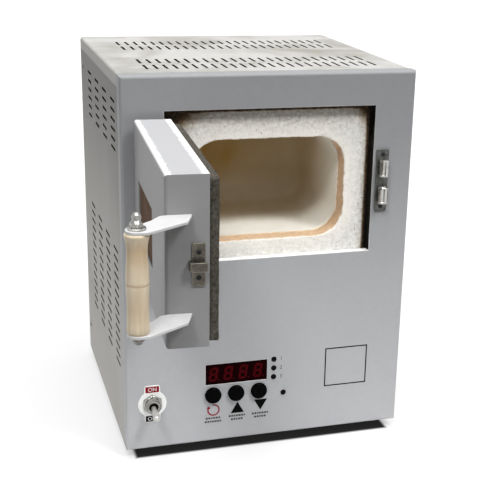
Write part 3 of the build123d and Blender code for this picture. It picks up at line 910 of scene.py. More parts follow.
@dataclass(frozen=True)
class CasingPaint(Finish):
    """Paint of the casing, with painted shade and a painted highlight on it.

    Attributes:
        dull: How much darker it is at the top, as painted shade, between the heights of
            painted_shade_span.
        underside: Height below which, under the lower folds, it is dark as painted shade, in the
            colour bare.
        flat: Which direction the cover faces, 0 for across, 1 for back and 2 for up.
        slots: Low and high corner of the box that holds its slots, whose walls are painted
            shade in slot_painted_shade.
        fold: Colour of painted shade on the folds outside that box; steep is how far they still
            face its way.
        lip: Colour of a painted highlight on narrow faces that look up by lip_highlight_facing,
            under the height lip_highlight_top.
    """

    dull: float = 0.2
    painted_shade_span: Tuple[float, float] = (120.0, 315.0)
    underside: float = 8.5
    painted_under_shade: Colour = grey(0.015)
    flat: int = 1
    slots: Optional[Tuple[Colour, Colour]] = None
    slot_painted_shade: Colour = grey(0.008)
    fold: Colour = (0.3, 0.29, 0.27)
    steep: Tuple[float, float] = (0.3, 0.7)
    lip: Colour = grey(0.95)
    lip_highlight_facing: Tuple[float, float] = (0.5, 0.9)
    lip_highlight_top: float = 300.0

    def _colour(self, bench: Bench, shader: Node) -> Socket:
        """Adds painted shade by height, on folds and slot walls, and a painted highlight on lips.

        Args:
            bench: The material's bench.
            shader: Its main shader.

        Returns:
            The colour's socket.
        """
        colour = super()._colour(bench, shader)
        place, facing = bench.apart(bench.place()), bench.facing()
        # Painted shade: darker towards the top, by height alone.
        low, high = self.painted_shade_span
        rise = bench.between(place[2], low * MM, high * MM)
        colour = bench.mix(bench.times(rise, self.dull), colour, grey(0.0))
        # Painted highlight on narrow faces that look up, such as the aperture's lower lip.
        below = bench.math("LESS_THAN", place[2], self.lip_highlight_top * MM)
        lip = bench.times(bench.between(facing[2], *self.lip_highlight_facing), below)
        colour = bench.mix(lip, colour, self.lip)
        # Painted shade: dark folds, by how little they face the cover's way, and black slot walls.
        if self.slots:
            facing_out = bench.math("ABSOLUTE", facing[self.flat])
            steep = bench.minus(1.0, bench.between(facing_out, *self.steep))
            colour = bench.mix(steep, colour, self.fold)
            inside = bench.times(steep, self._in_slots(bench, place))
            colour = bench.mix(inside, colour, self.slot_painted_shade)
        # Painted shade: dark below the underside height, under the lower folds.
        under = bench.math("LESS_THAN", place[2], self.underside * MM)
        return bench.mix(under, colour, self.painted_under_shade)

    def _in_slots(self, bench: Bench, place: Sequence[Socket]) -> Socket:
        """Tests each direction against the slots' box.

        Args:
            bench: The material's bench.
            place: The three parts of the place.

        Returns:
            A socket with 1 inside the box and 0 outside.
        """
        inside = 1.0
        for axis in range(3):
            for corner, test in zip(self.slots, ("GREATER_THAN", "LESS_THAN")):
                limit = float((CASING_MIDDLE[axis] + corner[axis]) * MM)
                inside = bench.times(bench.math(test, place[axis], limit), inside)
        return inside


@dataclass(frozen=True)
class DoorPaintWithPaintedSheen(Finish):
    """Paint of the door, with a painted sheen on its top and a painted highlight along both of the
    top's long edges.

    Attributes:
        painted_sheen: Colour of the painted sheen, on what looks up by up_facing and lies above
            sheen_floor.
        sill: Colour of the lower faces that look up.
        rim: Colour of the painted highlight along those edges, from rim_highlight_span away from
            the shell's middle.
        middle: Distance of that middle from the hinge axis, through the door.
        ragged: Height and scale of the highlight's unevenness.
    """

    painted_sheen: Colour = (0.46, 0.46, 0.475)
    sheen_floor: float = 270.0
    sill: Colour = (0.09, 0.088, 0.085)
    up_facing: Tuple[float, float] = (0.35, 0.9)
    rim: Colour = grey(0.80)
    rim_highlight_span: Tuple[float, float] = (8.5, 10.8)
    middle: float = 10.2
    ragged: Tuple[float, float] = (4.0, 260.0)

    def _colour(self, bench: Bench, shader: Node) -> Socket:
        """Adds the painted sheen by facing up and the painted edge highlight by depth in the door.

        Args:
            bench: The material's bench.
            shader: Its main shader.

        Returns:
            The colour's socket.
        """
        colour = super()._colour(bench, shader)
        place, facing = bench.apart(bench.place()), bench.facing()
        # Painted sheen: paler top faces that look up; lower faces that look up go dark.
        up = bench.between(facing[2], *self.up_facing)
        top = bench.times(up, bench.math("GREATER_THAN", place[2], self.sheen_floor * MM))
        colour = bench.mix(up, colour, self.sill)
        colour = bench.mix(top, colour, self.painted_sheen)
        # Painted highlight along the top's two long edges, by depth through the door, made uneven.
        x, y = (bench.minus(place[i], float((CASING_MIDDLE[i] + HINGE[i]) * MM)) for i in (0, 1))
        through = bench.plus(
            bench.times(x, math.sin(OPEN_ANGLE)), bench.times(y, math.cos(OPEN_ANGLE)))
        height, scale = self.ragged
        uneven = bench.times(bench.minus(bench.noise(scale, 4.0), 0.5), height * MM)
        off_middle = bench.math("ABSOLUTE", bench.plus(through, self.middle * MM))
        low, high = self.rim_highlight_span
        rim_highlights = bench.between(bench.plus(off_middle, uneven), low * MM, high * MM)
        return bench.mix(bench.times(rim_highlights, top), colour, self.rim)


@dataclass(frozen=True)
class PaintedReflectionPlate(Finish):
    """Plating with painted reflections: dark stripes along a rolled barrel, from the piece's band
    mask.

    Attributes:
        band: Colour of the painted reflections.
    """

    band: Colour = (0.035, 0.033, 0.03)

    def _colour(self, bench: Bench, shader: Node) -> Socket:
        """Adds the painted dark reflections to the plain finish."""
        colour = super()._colour(bench, shader)
        return bench.mix(bench.stored("band"), colour, self.band)


@dataclass(frozen=True)
class ScorchedFibre(Finish):
    """Fibre board: pitted, with a tan cut edge and browned where heat leaks past; on the collar
    the soft browning from the top edge is partly painted shade under the panel's upper edge.

    Attributes:
        halo: Colour of the paler fibre round the opening.
        pit: Colour of pits, with their scales and the limits of their cells and their noise.
        specks: How strongly fine dark specks of the colour speck show.
        cut: Colour of the cut edge; cut_shade is the share of it in the darker streaks.
        fringe: Scale and strength of the scorch's uneven edge.
        steps: For each step of scorching, where it begins, where it is full, and its tint.
        scorch: Colour of the worst scorch, over scorch_span.
    """

    halo: Colour = (1.0, 0.96, 0.88)
    pit: Colour = (0.16, 0.13, 0.10)
    pit_share: float = 0.8
    pit_scales: Tuple[float, float] = (230.0, 95.0)
    pit_limits: Tuple[float, float] = (0.16, 0.62)
    specks: float = 0.0
    speck: Colour = (0.20, 0.18, 0.15)
    speck_scale: float = 1250.0
    speck_span: Tuple[float, float] = (0.60, 0.72)
    cut: Colour = (0.80, 0.57, 0.37)
    cut_shade: float = 0.84
    cut_scale: float = 300.0
    cut_span: Tuple[float, float] = (0.35, 0.65)
    fringe: Tuple[float, float] = (330.0, 0.5)
    steps: Tuple[Tuple[float, float, Colour], ...] = (
        (0.05, 0.65, (0.50, 0.44, 0.37)), (0.5, 0.9, (0.42, 0.30, 0.20)))
    scorch: Colour = (0.012, 0.009, 0.007)
    scorch_span: Tuple[float, float] = (0.72, 1.12)

    def _colour(self, bench: Bench, shader: Node) -> Socket:
        """Adds the piece's halo, cut and scorch masks, with pits and specks.

        Args:
            bench: The material's bench.
            shader: Its main shader.

        Returns:
            The colour's socket.
        """
        colour = super()._colour(bench, shader)
        colour = bench.mix(bench.stored("halo"), colour, self.halo)
        pits = bench.add("TexVoronoi", in_2=self.pit_scales[0])
        bench.join(bench.place(), pits.inputs["Vector"])
        deep = bench.math("LESS_THAN", pits.outputs[0], self.pit_limits[0])
        chosen = bench.noise(self.pit_scales[1], 2.0)
        pit = bench.times(deep, bench.math("GREATER_THAN", chosen, self.pit_limits[1]))
        colour = bench.mix(bench.times(pit, self.pit_share), colour, self.pit)
        if self.specks:
            dots = bench.between(bench.noise(self.speck_scale, 3.0), *self.speck_span)
            colour = bench.mix(bench.times(dots, self.specks), colour, self.speck)
        darker = tuple(self.cut_shade * c for c in self.cut)
        stops = tuple(zip(self.cut_span, (darker, self.cut)))
        tan = bench.ramp(bench.noise(self.cut_scale, 4.0), stops)
        colour = bench.mix(bench.stored("cut"), colour, tan)
        scale, strength = self.fringe
        uneven = bench.times(bench.minus(bench.noise(scale, 5.0), 0.5), strength)
        worn = bench.plus(bench.stored("scorch"), uneven)
        # These tints darken by the scorch mask; on the collar's top that is partly painted shade.
        for low, high, tint in self.steps:
            colour = bench.mix(bench.between(worn, low, high), colour, tint, "MULTIPLY")
        return bench.mix(bench.between(worn, *self.scorch_span), colour, self.scorch)


@dataclass(frozen=True)
class ChamberFibre(Finish):
    """Chamber lining: cream at the mouth, browned towards the back and under the roof; the
    browning is partly the fibre's own and partly painted shade.

    Attributes:
        deep: Colour of the browned fibre, partly painted shade.
        outside: Colour of the hidden outer faces, dark as painted shade in the gaps round the
            block.
        depth_span: Distance behind the casing's middle where browning begins and is full.
        roof_span: Heights of the browning under the roof, which roof_side bounds across.
        patchy: Least share between the patches.
        low_span: Heights below which the browning goes down to low_share, as painted light.
    """

    deep: Colour = (0.52, 0.335, 0.095)
    outside: Colour = (0.07, 0.06, 0.05)
    depth_span: Tuple[float, float] = (-88.0, -4.0)
    depth_share: float = 0.62
    roof_span: Tuple[float, float] = (186.0, 232.0)
    roof_side: Tuple[float, float] = (66.0, -45.0)
    roof_share: float = 0.55
    patchy: float = 0.82
    low_span: Tuple[float, float] = (184.0, 214.0)
    low_share: float = 0.5

    def _colour(self, bench: Bench, shader: Node) -> Socket:
        """Adds a blend from the mouth to the back wall and towards the roof.

        Args:
            bench: The material's bench.
            shader: Its main shader.

        Returns:
            The colour's socket.
        """
        colour = super()._colour(bench, shader)
        place = bench.apart(bench.place())

        def along(axis: int, span: Tuple[float, float]) -> Socket:
            """Maps places from one end of a span to the other to 0 to 1."""
            low, high = (float(CASING_MIDDLE[axis] + value) * MM for value in span)
            return bench.between(place[axis], low, high)

        # The browning is partly the fibre's own and partly painted shade, deeper in and under the
        # roof, and less of it on the lower chamber.
        depth, rise = along(1, self.depth_span), along(2, self.roof_span)
        left = along(0, self.roof_side)
        roof = bench.times(bench.times(rise, left), self.roof_share)
        reach = bench.plus(bench.times(depth, self.depth_share), roof, clamp=True)
        patches = SharedEffects.place(
            bench, SharedEffects.blotches(), Scale=24.0, Low=0.35, High=0.75)
        uneven = bench.plus(self.patchy, bench.times(patches.outputs[0], 1.0 - self.patchy))
        reach = bench.times(reach, uneven, clamp=True)
        low = bench.times(along(2, self.low_span), 1.0 - self.low_share)
        reach = bench.times(reach, bench.plus(self.low_share, low))
        colour = bench.mix(reach, colour, self.deep)
        # Painted shade: the block's outer faces go dark.
        return bench.mix(bench.stored("outside"), colour, self.outside)


@dataclass(frozen=True)
class TurnedWood(Finish):
    """Pale turned wood: streaks along the axis, tan in the low places.

    Attributes:
        tan: Colour of the low places, shown by tan_share.
        streak_scale: Scale of the streaks across the axis.
        stretch: How much slower they change along it.
    """

    tan: Colour = (0.50, 0.33, 0.17)
    tan_share: float = 0.75
    streak_scale: float = 420.0
    stretch: float = 0.08
    streak_stops: Tuple[float, float] = (0.3, 0.62)

    def _colour(self, bench: Bench, shader: Node) -> Socket:
        """Makes the streaks along Z and reads the piece's low mask.

        Args:
            bench: The material's bench.
            shader: Its main shader.

        Returns:
            The colour's socket.
        """
        stretched = bench.add("Mapping")
        stretched.inputs["Scale"].default_value = (1.0, 1.0, self.stretch)
        bench.join(bench.place(), stretched.inputs["Vector"])
        streak = bench.noise(self.streak_scale, 5.0, stretched.outputs[0])
        bench.bump(streak, self.bump, shader)
        stops = tuple(zip(self.streak_stops, (self.shade, self.base)))
        colour = bench.ramp(streak, stops)
        return bench.mix(bench.times(bench.stored("low"), self.tan_share), colour, self.tan)


@dataclass(frozen=True)
class SootedGlass(Finish):
    """Heat-proof glass, browned by the chamber behind it."""

    def _colour(self, bench: Bench, shader: Node) -> Socket:
        """Makes faint smoke marks."""
        smoke = SharedEffects.place(bench, SharedEffects.blotches(), Scale=40.0, Low=0.3, High=0.8)
        return bench.ramp(smoke.outputs[0], ((0.0, self.shade), (1.0, self.base)))


class Finishes:
    """Every finish of the kiln, by what it covers."""

    # The silver paints below are one paint in lit and shaded copies. PANEL: pale edges and lips are
    # painted highlight, and the darkening towards the top is painted shade.
    PANEL = CasingPaint(
        "silver paint", (0.418, 0.423, 0.436), (0.398, 0.402, 0.414), grain=1500.0, bump=0.005,
        specular=0.3, patch=(0.37, 0.375, 0.39), patch_share=0.10, patch_scale=9.0,
        edge=grey(0.95), edge_share=0.7, edge_radius=1.0, dull=0.28)
    # TOP: a paler copy of the paint, as painted light; its pale edges are painted highlight, and
    # its folds and slot walls take painted shade.
    TOP = CasingPaint(
        "silver paint, top", (0.52, 0.51, 0.49), (0.46, 0.45, 0.43), roughness=0.42, grain=1200.0,
        bump=0.005, specular=0.4, patch=(0.23, 0.215, 0.18), patch_share=0.85, patch_scale=19.0,
        patch_low=0.41, edge_share=0.5, dull=0.0, flat=2,
        slots=((-110.0, -106.0, 300.0), (110.0, 106.0, 330.0)), fold=(0.23, 0.22, 0.20))
    # SIDE: the strong darkening towards the top, the dark folds and the slot walls are painted
    # shade.
    SIDE = CasingPaint(
        "silver paint, side_painted_shade", (0.445, 0.43, 0.41), (0.415, 0.40, 0.378), roughness=0.52,
        grain=1500.0, bump=0.005, specular=0.3, patch=(0.28, 0.25, 0.21), patch_share=0.35,
        patch_scale=6.0, dull=0.66, flat=0,
        slots=((-130.0, -104.0, 20.0), (130.0, 104.0, 306.0)), fold=(0.16, 0.15, 0.135))
    # DOOR: a darker copy of the paint, as painted shade, with a painted sheen and edge highlight on
    # its top.
    DOOR = DoorPaintWithPaintedSheen(
        "silver paint, door", (0.285, 0.285, 0.288), (0.27, 0.27, 0.273), grain=1500.0,
        bump=0.005, specular=0.3, patch=(0.25, 0.25, 0.253), patch_share=0.10, patch_scale=14.0)
    # BRACKET: a paler copy of the paint with pale edges, as painted highlight.
    BRACKET = Finish(
        "silver paint, bracket", (0.66, 0.66, 0.665), (0.60, 0.60, 0.605), roughness=0.42,
        grain=1300.0, bump=0.01, specular=0.35, edge=grey(0.95), edge_share=0.4)
    INNER_STEEL = Finish(
        "blackened sheet", (0.055, 0.055, 0.057), (0.035, 0.035, 0.036), metallic=0.3,
        roughness=0.6, grain=260.0, bump=0.01, patch=(0.03, 0.03, 0.031), patch_share=0.4,
        patch_scale=45.0)
    COLLAR = ScorchedFibre(
        "fibre collar", (0.97, 0.965, 0.93), (0.66, 0.635, 0.58), roughness=0.92, grain=2400.0,
        bump=0.2, specular=0.2, specks=0.75)
    SLAB = ScorchedFibre(
        "fibre slab", (0.20, 0.195, 0.175), (0.045, 0.043, 0.038), roughness=0.92, grain=4200.0,
        bump=0.25, specular=0.15)
    CHAMBER = ChamberFibre(
        "chamber fibre", (0.93, 0.92, 0.86), (0.88, 0.86, 0.78), roughness=0.9, bump=0.08,
        specular=0.2)
    # Its dark colour is painted shade: it makes the inside of the casing look dark through the
    # slots.
    BACKING = Finish(
        "backing board", (0.10, 0.09, 0.075), (0.06, 0.053, 0.043), roughness=0.95, grain=600.0,
        bump=0.15, specular=0.1)
    RUBBER = Finish(
        "black rubber", (0.014, 0.014, 0.015), grey(0.008), roughness=0.7, grain=1200.0,
        bump=0.03, specular=0.25)
    BLACK_PLASTIC = Finish(
        "black plastic", (0.03, 0.03, 0.032), grey(0.018), roughness=0.45, grain=1600.0,
        bump=0.01, specular=0.3)
    BUTTON = Finish(
        "glossy button", grey(0.0015), grey(0.001), roughness=0.12, grain=700.0, bump=0.0,
        specular=0.02)
    LAMP = Finish(
        "dark lamp lens", (0.006, 0.004, 0.004), (0.003, 0.002, 0.002), roughness=0.16,
        grain=500.0, bump=0.0, specular=0.035)
    PANE = Finish(
        "tinted pane", (0.009, 0.0008, 0.0012), (0.006, 0.0005, 0.0008), roughness=0.4,
        grain=200.0, bump=0.0, specular=0.006)
    DIGIT = Finish(
        "unlit digit", (0.072, 0.003, 0.005), (0.050, 0.002, 0.004), roughness=0.6, bump=0.0,
        specular=0.01)
    LEGEND = Finish(
        "legend plate", (0.88, 0.88, 0.87), (0.82, 0.82, 0.81), roughness=0.4, bump=0.0,
        specular=0.3)
    PRINT_RED = Finish(
        "red print", (0.26, 0.008, 0.020), (0.20, 0.006, 0.014), roughness=0.6, grain=1400.0,
        bump=0.0, specular=0.05)
    PRINT_BLACK = Finish(
        "black print", grey(0.004), grey(0.002), roughness=0.7, grain=1400.0, bump=0.0,
        specular=0.02)
    PRINT_GREY = Finish(
        "grey print", (0.055, 0.055, 0.058), (0.028, 0.028, 0.03), roughness=0.7, grain=2200.0,
        bump=0.0, specular=0.03)
    PRINT_WHITE = Finish(
        "white print", (0.85, 0.84, 0.82), (0.74, 0.73, 0.71), grain=1400.0, bump=0.0)
    NICKEL = Finish(
        "nickel plate", (0.42, 0.415, 0.39), (0.28, 0.275, 0.255), metallic=0.9, roughness=0.26,
        grain=1000.0, bump=0.006, patch=(0.11, 0.105, 0.095), patch_share=0.5, patch_scale=210.0,
        edge=(0.9, 0.9, 0.88), edge_share=0.8)
    # Dark stripes of painted reflection round the barrel, by the piece's band mask.
    BARREL = PaintedReflectionPlate(
        "rolled barrel", (0.58, 0.57, 0.54), (0.42, 0.415, 0.39), metallic=0.9, roughness=0.2,
        grain=1000.0, bump=0.006, patch=(0.2, 0.19, 0.17), patch_share=0.3, patch_scale=210.0)
    BRIGHT = Finish(
        "polished lever", (0.66, 0.655, 0.62), (0.54, 0.53, 0.50), metallic=0.55, roughness=0.3,
        bump=0.006, patch=(0.34, 0.33, 0.30), patch_share=0.35, patch_scale=160.0)
    ZINC = Finish(
        "dull zinc", (0.24, 0.235, 0.215), (0.13, 0.125, 0.115), metallic=0.85, roughness=0.45,
        patch=(0.08, 0.07, 0.06), patch_share=0.6, patch_scale=120.0, edge=(0.72, 0.71, 0.68),
        edge_share=0.7)
    TARNISHED = Finish(
        "tarnished brass", (0.135, 0.125, 0.105), (0.065, 0.058, 0.046), metallic=0.85,
        roughness=0.42, patch=(0.04, 0.036, 0.029), patch_share=0.6, patch_scale=120.0,
        edge=(0.5, 0.47, 0.40), edge_share=0.7)
    AGED_PLATE = Finish(
        "aged plate", (0.13, 0.13, 0.125), (0.06, 0.06, 0.056), metallic=0.85, roughness=0.42,
        patch=(0.03, 0.03, 0.028), patch_share=0.6, patch_scale=150.0, edge=(0.3, 0.3, 0.29),
        edge_share=0.5)
    SCREW = Finish("blackened screw", grey(0.03), grey(0.012), metallic=0.6, bump=0.01)
    WOOD = TurnedWood(
        "pale turned wood", (0.80, 0.69, 0.52), (0.64, 0.52, 0.35), roughness=0.42, bump=0.03,
        specular=0.4)
    GLASS = SootedGlass(
        "sooted glass", (0.15, 0.085, 0.05), (0.09, 0.05, 0.028), roughness=0.6, specular=0.015)
    BOARD = Finish(
        "circuit board", (0.03, 0.16, 0.06), (0.015, 0.09, 0.03), roughness=0.4, grain=500.0)
    IRON = Finish(
        "laminated iron", (0.12, 0.12, 0.125), grey(0.06), metallic=0.6, grain=400.0, bump=0.05)


def dress_node(node: str, finish: Finish) -> None:
    """Gives a carried-over node its finish.

    Args:
        node: Name of the node.
        finish: The finish.
    """
    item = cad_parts[node]
    material = finish.material()
    if not item.material_slots:
        item.data.materials.append(material)
    for slot in item.material_slots:
        slot.material = material
    LOG.info("%s wears %s", node, finish.name)


# ---------------------------------------------------------------- sub-assemblies


@dataclass
class CasingDress:
    """The sheet-metal casing: finishes of its sheets, feet, side screws and seams."""

    width: float = 240.0
    bottom: float = 8.0
    top: float = 319.0
    fold: float = 12.0
    seam_width: float = 0.35
    seam_proud: float = 0.03
    seam_inset: float = 2.5
    side_screws: Tuple[float, ...] = (37.0, 295.0)
    side_screw_y: float = 102.5
    side_screw: Tuple[float, float] = (2.9, 1.5)
    foot_radius: float = 12.0
    foot_recess: float = 2.6
    foot_screw: Tuple[float, float] = (3.6, 1.7)
    foot_places: Tuple[Tuple[float, float], ...] = (
        (-98.0, -89.5), (98.0, -89.5), (-98.0, 75.0), (98.0, 75.0))

    def dress(self) -> None:
        """Gives every sheet and every inner piece its finish."""
        for node, finish in (
            ("front_panel", Finishes.PANEL), ("top_panel", Finishes.TOP),
            ("left_side_panel", Finishes.SIDE), ("right_side_panel", Finishes.SIDE),
            ("rear_panel", Finishes.PANEL), ("base_tray", Finishes.INNER_STEEL),
            ("chamber_shelf", Finishes.INNER_STEEL), ("cable_gland", Finishes.BLACK_PLASTIC),
            ("backing_boards", Finishes.BACKING), ("transformer", Finishes.IRON),
            ("power_relay", Finishes.BLACK_PLASTIC), ("terminal_block", Finishes.BLACK_PLASTIC),
            ("controller_board", Finishes.BOARD), ("board_standoffs", Finishes.ZINC),
            ("display_block", Finishes.BLACK_PLASTIC),
        ):
            dress_node(node, finish)

    def feet(self) -> None:
        """Rubber feet with a rounded lower edge and a recess, in place of the plain ones."""
        r, recess = self.foot_radius, self.foot_recess
        profile = [
            (0, self.bottom), (r, self.bottom), (r, 6.9), (r - 0.25, 6.6), (r - 0.3, 6.2),
            (r - 0.7, 3.5), (r - 1.1, 1.3), (r - 1.5, 0.5), (r - 2.3, 0.05), (r - 3.2, 0.0),
            (5.4, 0.0), (5.2, 0.6), (4.8, recess), (0, recess)]
        places = [Placement((x, y, 0)) for x, y in self.foot_places]
        turned("rubber_feet_turned", profile, *places, steps=56).dress(
            Finishes.RUBBER, "rubber").ride(Body.CASING, "rubber_feet")
        seats = [Placement((x, y, recess), up=(0, 0, -1)) for x, y in self.foot_places]
        screw_heads("foot_screws", seats, *self.foot_screw).dress(
            Finishes.ZINC, "zinc_steel").ride(Body.CASING)

    def side_screw_heads(self) -> None:
        """Two screws near the back of each side."""
        seats = [
            Placement((side * self.width / 2, self.side_screw_y, z), (0, 1, 0), (side, 0, 0))
            for side in (-1, 1) for z in self.side_screws]
        screw_heads("side_screws", seats, *self.side_screw).dress(
            Finishes.ZINC, "zinc_steel").ride(Body.CASING)

    def seams(self) -> None:
        """Hairline joints where the front panel's folds meet the covers: strips a hair proud."""
        y0, half, inset = FRONT + self.fold, self.width / 2, self.seam_inset
        y1, high = y0 + self.seam_width, self.top - inset
        strips = []
        for x in (-half - self.seam_proud, half + self.seam_proud):
            strips += [[x, y0, self.bottom], [x, y1, self.bottom], [x, y1, high], [x, y0, high]]
        x, z = half - inset, self.top + self.seam_proud
        strips += [[-x, y0, z], [x, y0, z], [x, y1, z], [-x, y1, z]]
        faces = [list(range(i, i + 4)) for i in range(0, len(strips), 4)]
        Piece("panel_seams", WORLD.put(np.array(strips, dtype=float)), faces).dress(
            Finishes.PRINT_GREY, "panel_paint").ride(Body.CASING)

    def build(self) -> None:
        """Builds and dresses the casing's own pieces."""
        self.dress()
        self.feet()
        self.side_screw_heads()
        self.seams()


@dataclass
class ChamberDress:
    """The fibre collar with its cut and scorched edges, and the chamber behind it."""

    front: float = -108.6
    thickness: float = 16.0
    width: float = 168.0
    height: float = 122.0
    middle: float = 226.0
    lip: float = 3.6
    board_round: float = 0.6
    opening_width: float = 128.5
    opening_height: float = 84.0
    opening_radius: float = 24.0
    opening_middle: float = 224.5
    hollow_width: float = 126.5
    hollow_height: float = 82.0
    hollow_radius: float = 23.0
    hollow_back: float = 11.4
    back_round: float = 15.0
    lining_front: float = -92.6
    lining_back: float = 35.4
    halo_reach: float = 15.0
    cut_gap: float = 2.0
    even_rows: int = 9

    def collar_grid(self) -> np.ndarray:
        """The collar as one closed band: each ray from the opening to the board's edge goes round.

        The section runs along the face from the opening to the edge, back along the edge, inwards
        behind and forward along the opening's wall. Noise pits the face and frays the cut edge.

        Returns:
            Rows of loops, joined at both ends.
        """
        inner = rounded_rectangle(
            self.opening_width, self.opening_height, self.opening_radius, 40, 22,
            (0.0, self.opening_middle))
        outer = rounded_rectangle(
            self.width, self.height + self.lip, self.board_round, 40, 22,
            (0.0, self.middle + self.lip / 2))
        shares = np.concatenate([[0.0, 0.006, 0.018, 0.035, 0.06], np.linspace(0.09, 1.0, 34)])
        rays = inner[None] + (outer - inner)[None] * shares[:, None, None]
        rows, back = len(shares), np.linspace(0, 1, 9)[:0:-1]
        grid = np.concatenate([
            upright(rays, np.full(rows, self.front)),
            upright(outer, self.front + self.thickness * np.array([0.3, 0.7, 1.0])),
            upright(inner, self.front + self.thickness * back)])
        rough = value_noise(grid, 1.6, 3) * 0.16 + value_noise(grid, 4.2, 5) * 0.22
        pits = np.clip(value_noise(grid, 2.3, 11) - 0.55, 0, 1) * 1.6
        grid[:rows, :, 1] += rough[:rows] + pits[:rows]
        away = grid[..., [0, 2]] - np.array([0.0, self.opening_middle])
        away /= np.linalg.norm(away, axis=-1, keepdims=True)
        slow = grid * np.array([1, 0.3, 1])
        fray = value_noise(slow, 4.0, 21) * 0.6 + value_noise(grid, 1.5, 23) * 0.6
        near_cut = np.zeros(grid.shape[:2])
        near_cut[:5] = np.array([1.0, 0.9, 0.6, 0.3, 0.1])[:, None]
        near_cut[rows + 3:] = np.linspace(0.6, 1.0, 8)[:, None]
        grid[..., [0, 2]] += away * (fray * near_cut)[..., None]
        grid[:2, :, 1] += np.array([0.8, 0.3])[:, None]
        return grid

    def scorching(self, across: np.ndarray, height: np.ndarray) -> np.ndarray:
        """Scorch of the collar: hard along the edges, soft further in, and wide in the corners; the
        soft band from the top edge is partly painted shade under the panel's upper edge.

        Args:
            across: Place of each point along X.
            height: Place of each point along Z.

        Returns:
            One value from 0 to 1 for each point.
        """
        left, right = self.width / 2 + across, self.width / 2 - across
        rise = height - self.middle
        down, up = rise + self.height / 2, self.height / 2 + self.lip - rise
        sides = np.minimum(left / 8.0, right / 3.2)
        ends = np.minimum(up / 2.6, down / 1.0)
        hard = 1.15 * (1.0 - np.minimum(sides, ends))
        scorch = np.clip(hard, 0, 1)
        # The soft band from the top edge is partly scorch and partly painted shade under the
        # panel's upper edge.
        for strength, distance, reach in (
            (0.46, up, 26.0), (0.36, right, 11.0), (0.3, left, 20.0), (0.9, left + up, 40.0),
            (0.6, right + up, 22.0), (0.35, right + down, 12.0),
        ):
            scorch = scorch + strength * ramped(distance, reach)
        return np.clip(scorch, 0, 1)

    def collar(self) -> None:
        """The worn collar with its scorch, halo and cut masks."""
        grid = self.collar_grid()
        faces = grid_faces(*grid.shape[:2], True, True)
        piece = Piece("fibre_collar_worn", WORLD.put(grid), faces)
        p = piece.points()
        radius = self.opening_radius
        off_x = np.abs(p[:, 0]) - self.opening_width / 2 + radius
        off_z = np.abs(p[:, 2] - self.opening_middle) - self.opening_height / 2 + radius
        gap = np.hypot(np.maximum(off_x, 0), np.maximum(off_z, 0)) - radius
        halo = ramped(gap, self.halo_reach) ** 1.2 * 0.95
        cut = np.clip((p[:, 1] - self.front - 1.0) / 0.8, 0, 1) * (gap < self.cut_gap)
        piece.mask("scorch", self.scorching(p[:, 0], p[:, 2]))
        piece.mask("halo", halo * (1 - cut)).mask("cut", cut)
        piece.smooth(50).dress(Finishes.COLLAR, "ceramic_fibre").ride(Body.CASING, "fibre_collar")

    def lining(self) -> None:
        """The moulded chamber as one closed surface with a back that is rounded into the walls.

        Each row is one loop. The rows run over the block's back and sides, across its front to the
        mouth, along the hollow and round the back: there the loop shrinks by r(1 - cos a) while it
        goes r sin a deeper. Noise moves every row behind the mouth a little.
        """
        r, front, back = self.back_round, self.lining_front, self.hollow_back
        outer = rounded_rectangle(self.width, self.height, self.board_round, 30, 16)
        inner = rounded_rectangle(
            self.hollow_width, self.hollow_height, self.hollow_radius, 30, 16)
        half = np.array([self.hollow_width, self.hollow_height]) / 2
        high, low = np.array([0.0, self.middle]), np.array([0.0, self.opening_middle])
        rows = [(outer * share + high, self.lining_back) for share in (0.0, 0.35, 0.7, 1.0)]
        rows += [(outer + high, y) for y in (20.0, -30.0, front)]
        rows += [(inner + low, y) for y in (front, front + 1.0)]
        rows += [(inner + low, y) for y in np.linspace(front + 5.0, back - r, 16)]
        for a in np.linspace(0, QUARTER, 12)[1:]:
            shrunk = inner * (1.0 - r * (1.0 - math.cos(a)) / half)
            rows.append((shrunk + low, back - r * (1.0 - math.sin(a))))
        flat = inner * (1.0 - r / half)
        rows += [(flat * share + low, back) for share in (0.8, 0.6, 0.4, 0.2, 0.0)]
        grid = upright(np.stack([loop for loop, y in rows]), [y for loop, y in rows])
        hollow = grid[self.even_rows:]
        hollow[..., 1] += value_noise(hollow, 9.0, 41) * 0.35
        hollow[..., 2] += value_noise(hollow, 13.0, 43) * 0.25
        faces = grid_faces(*grid.shape[:2], False, True)
        piece = Piece("chamber_lining", WORLD.put(grid), faces)
        p, wall = piece.points(), 4.0
        # Mask of the outer faces, which the finish paints dark as shade.
        beyond = np.abs(p[:, 0]) > half[0] + wall
        beyond |= np.abs(p[:, 2] - self.opening_middle) > half[1] + wall
        beyond |= p[:, 1] > back + wall
        piece.mask("outside", beyond.astype(float)).smooth(50).dress(
            Finishes.CHAMBER, "ceramic_fibre").ride(Body.CASING, "fibre_muffle")

    def build(self) -> None:
        """Builds the collar and the lining."""
        self.collar()
        self.lining()


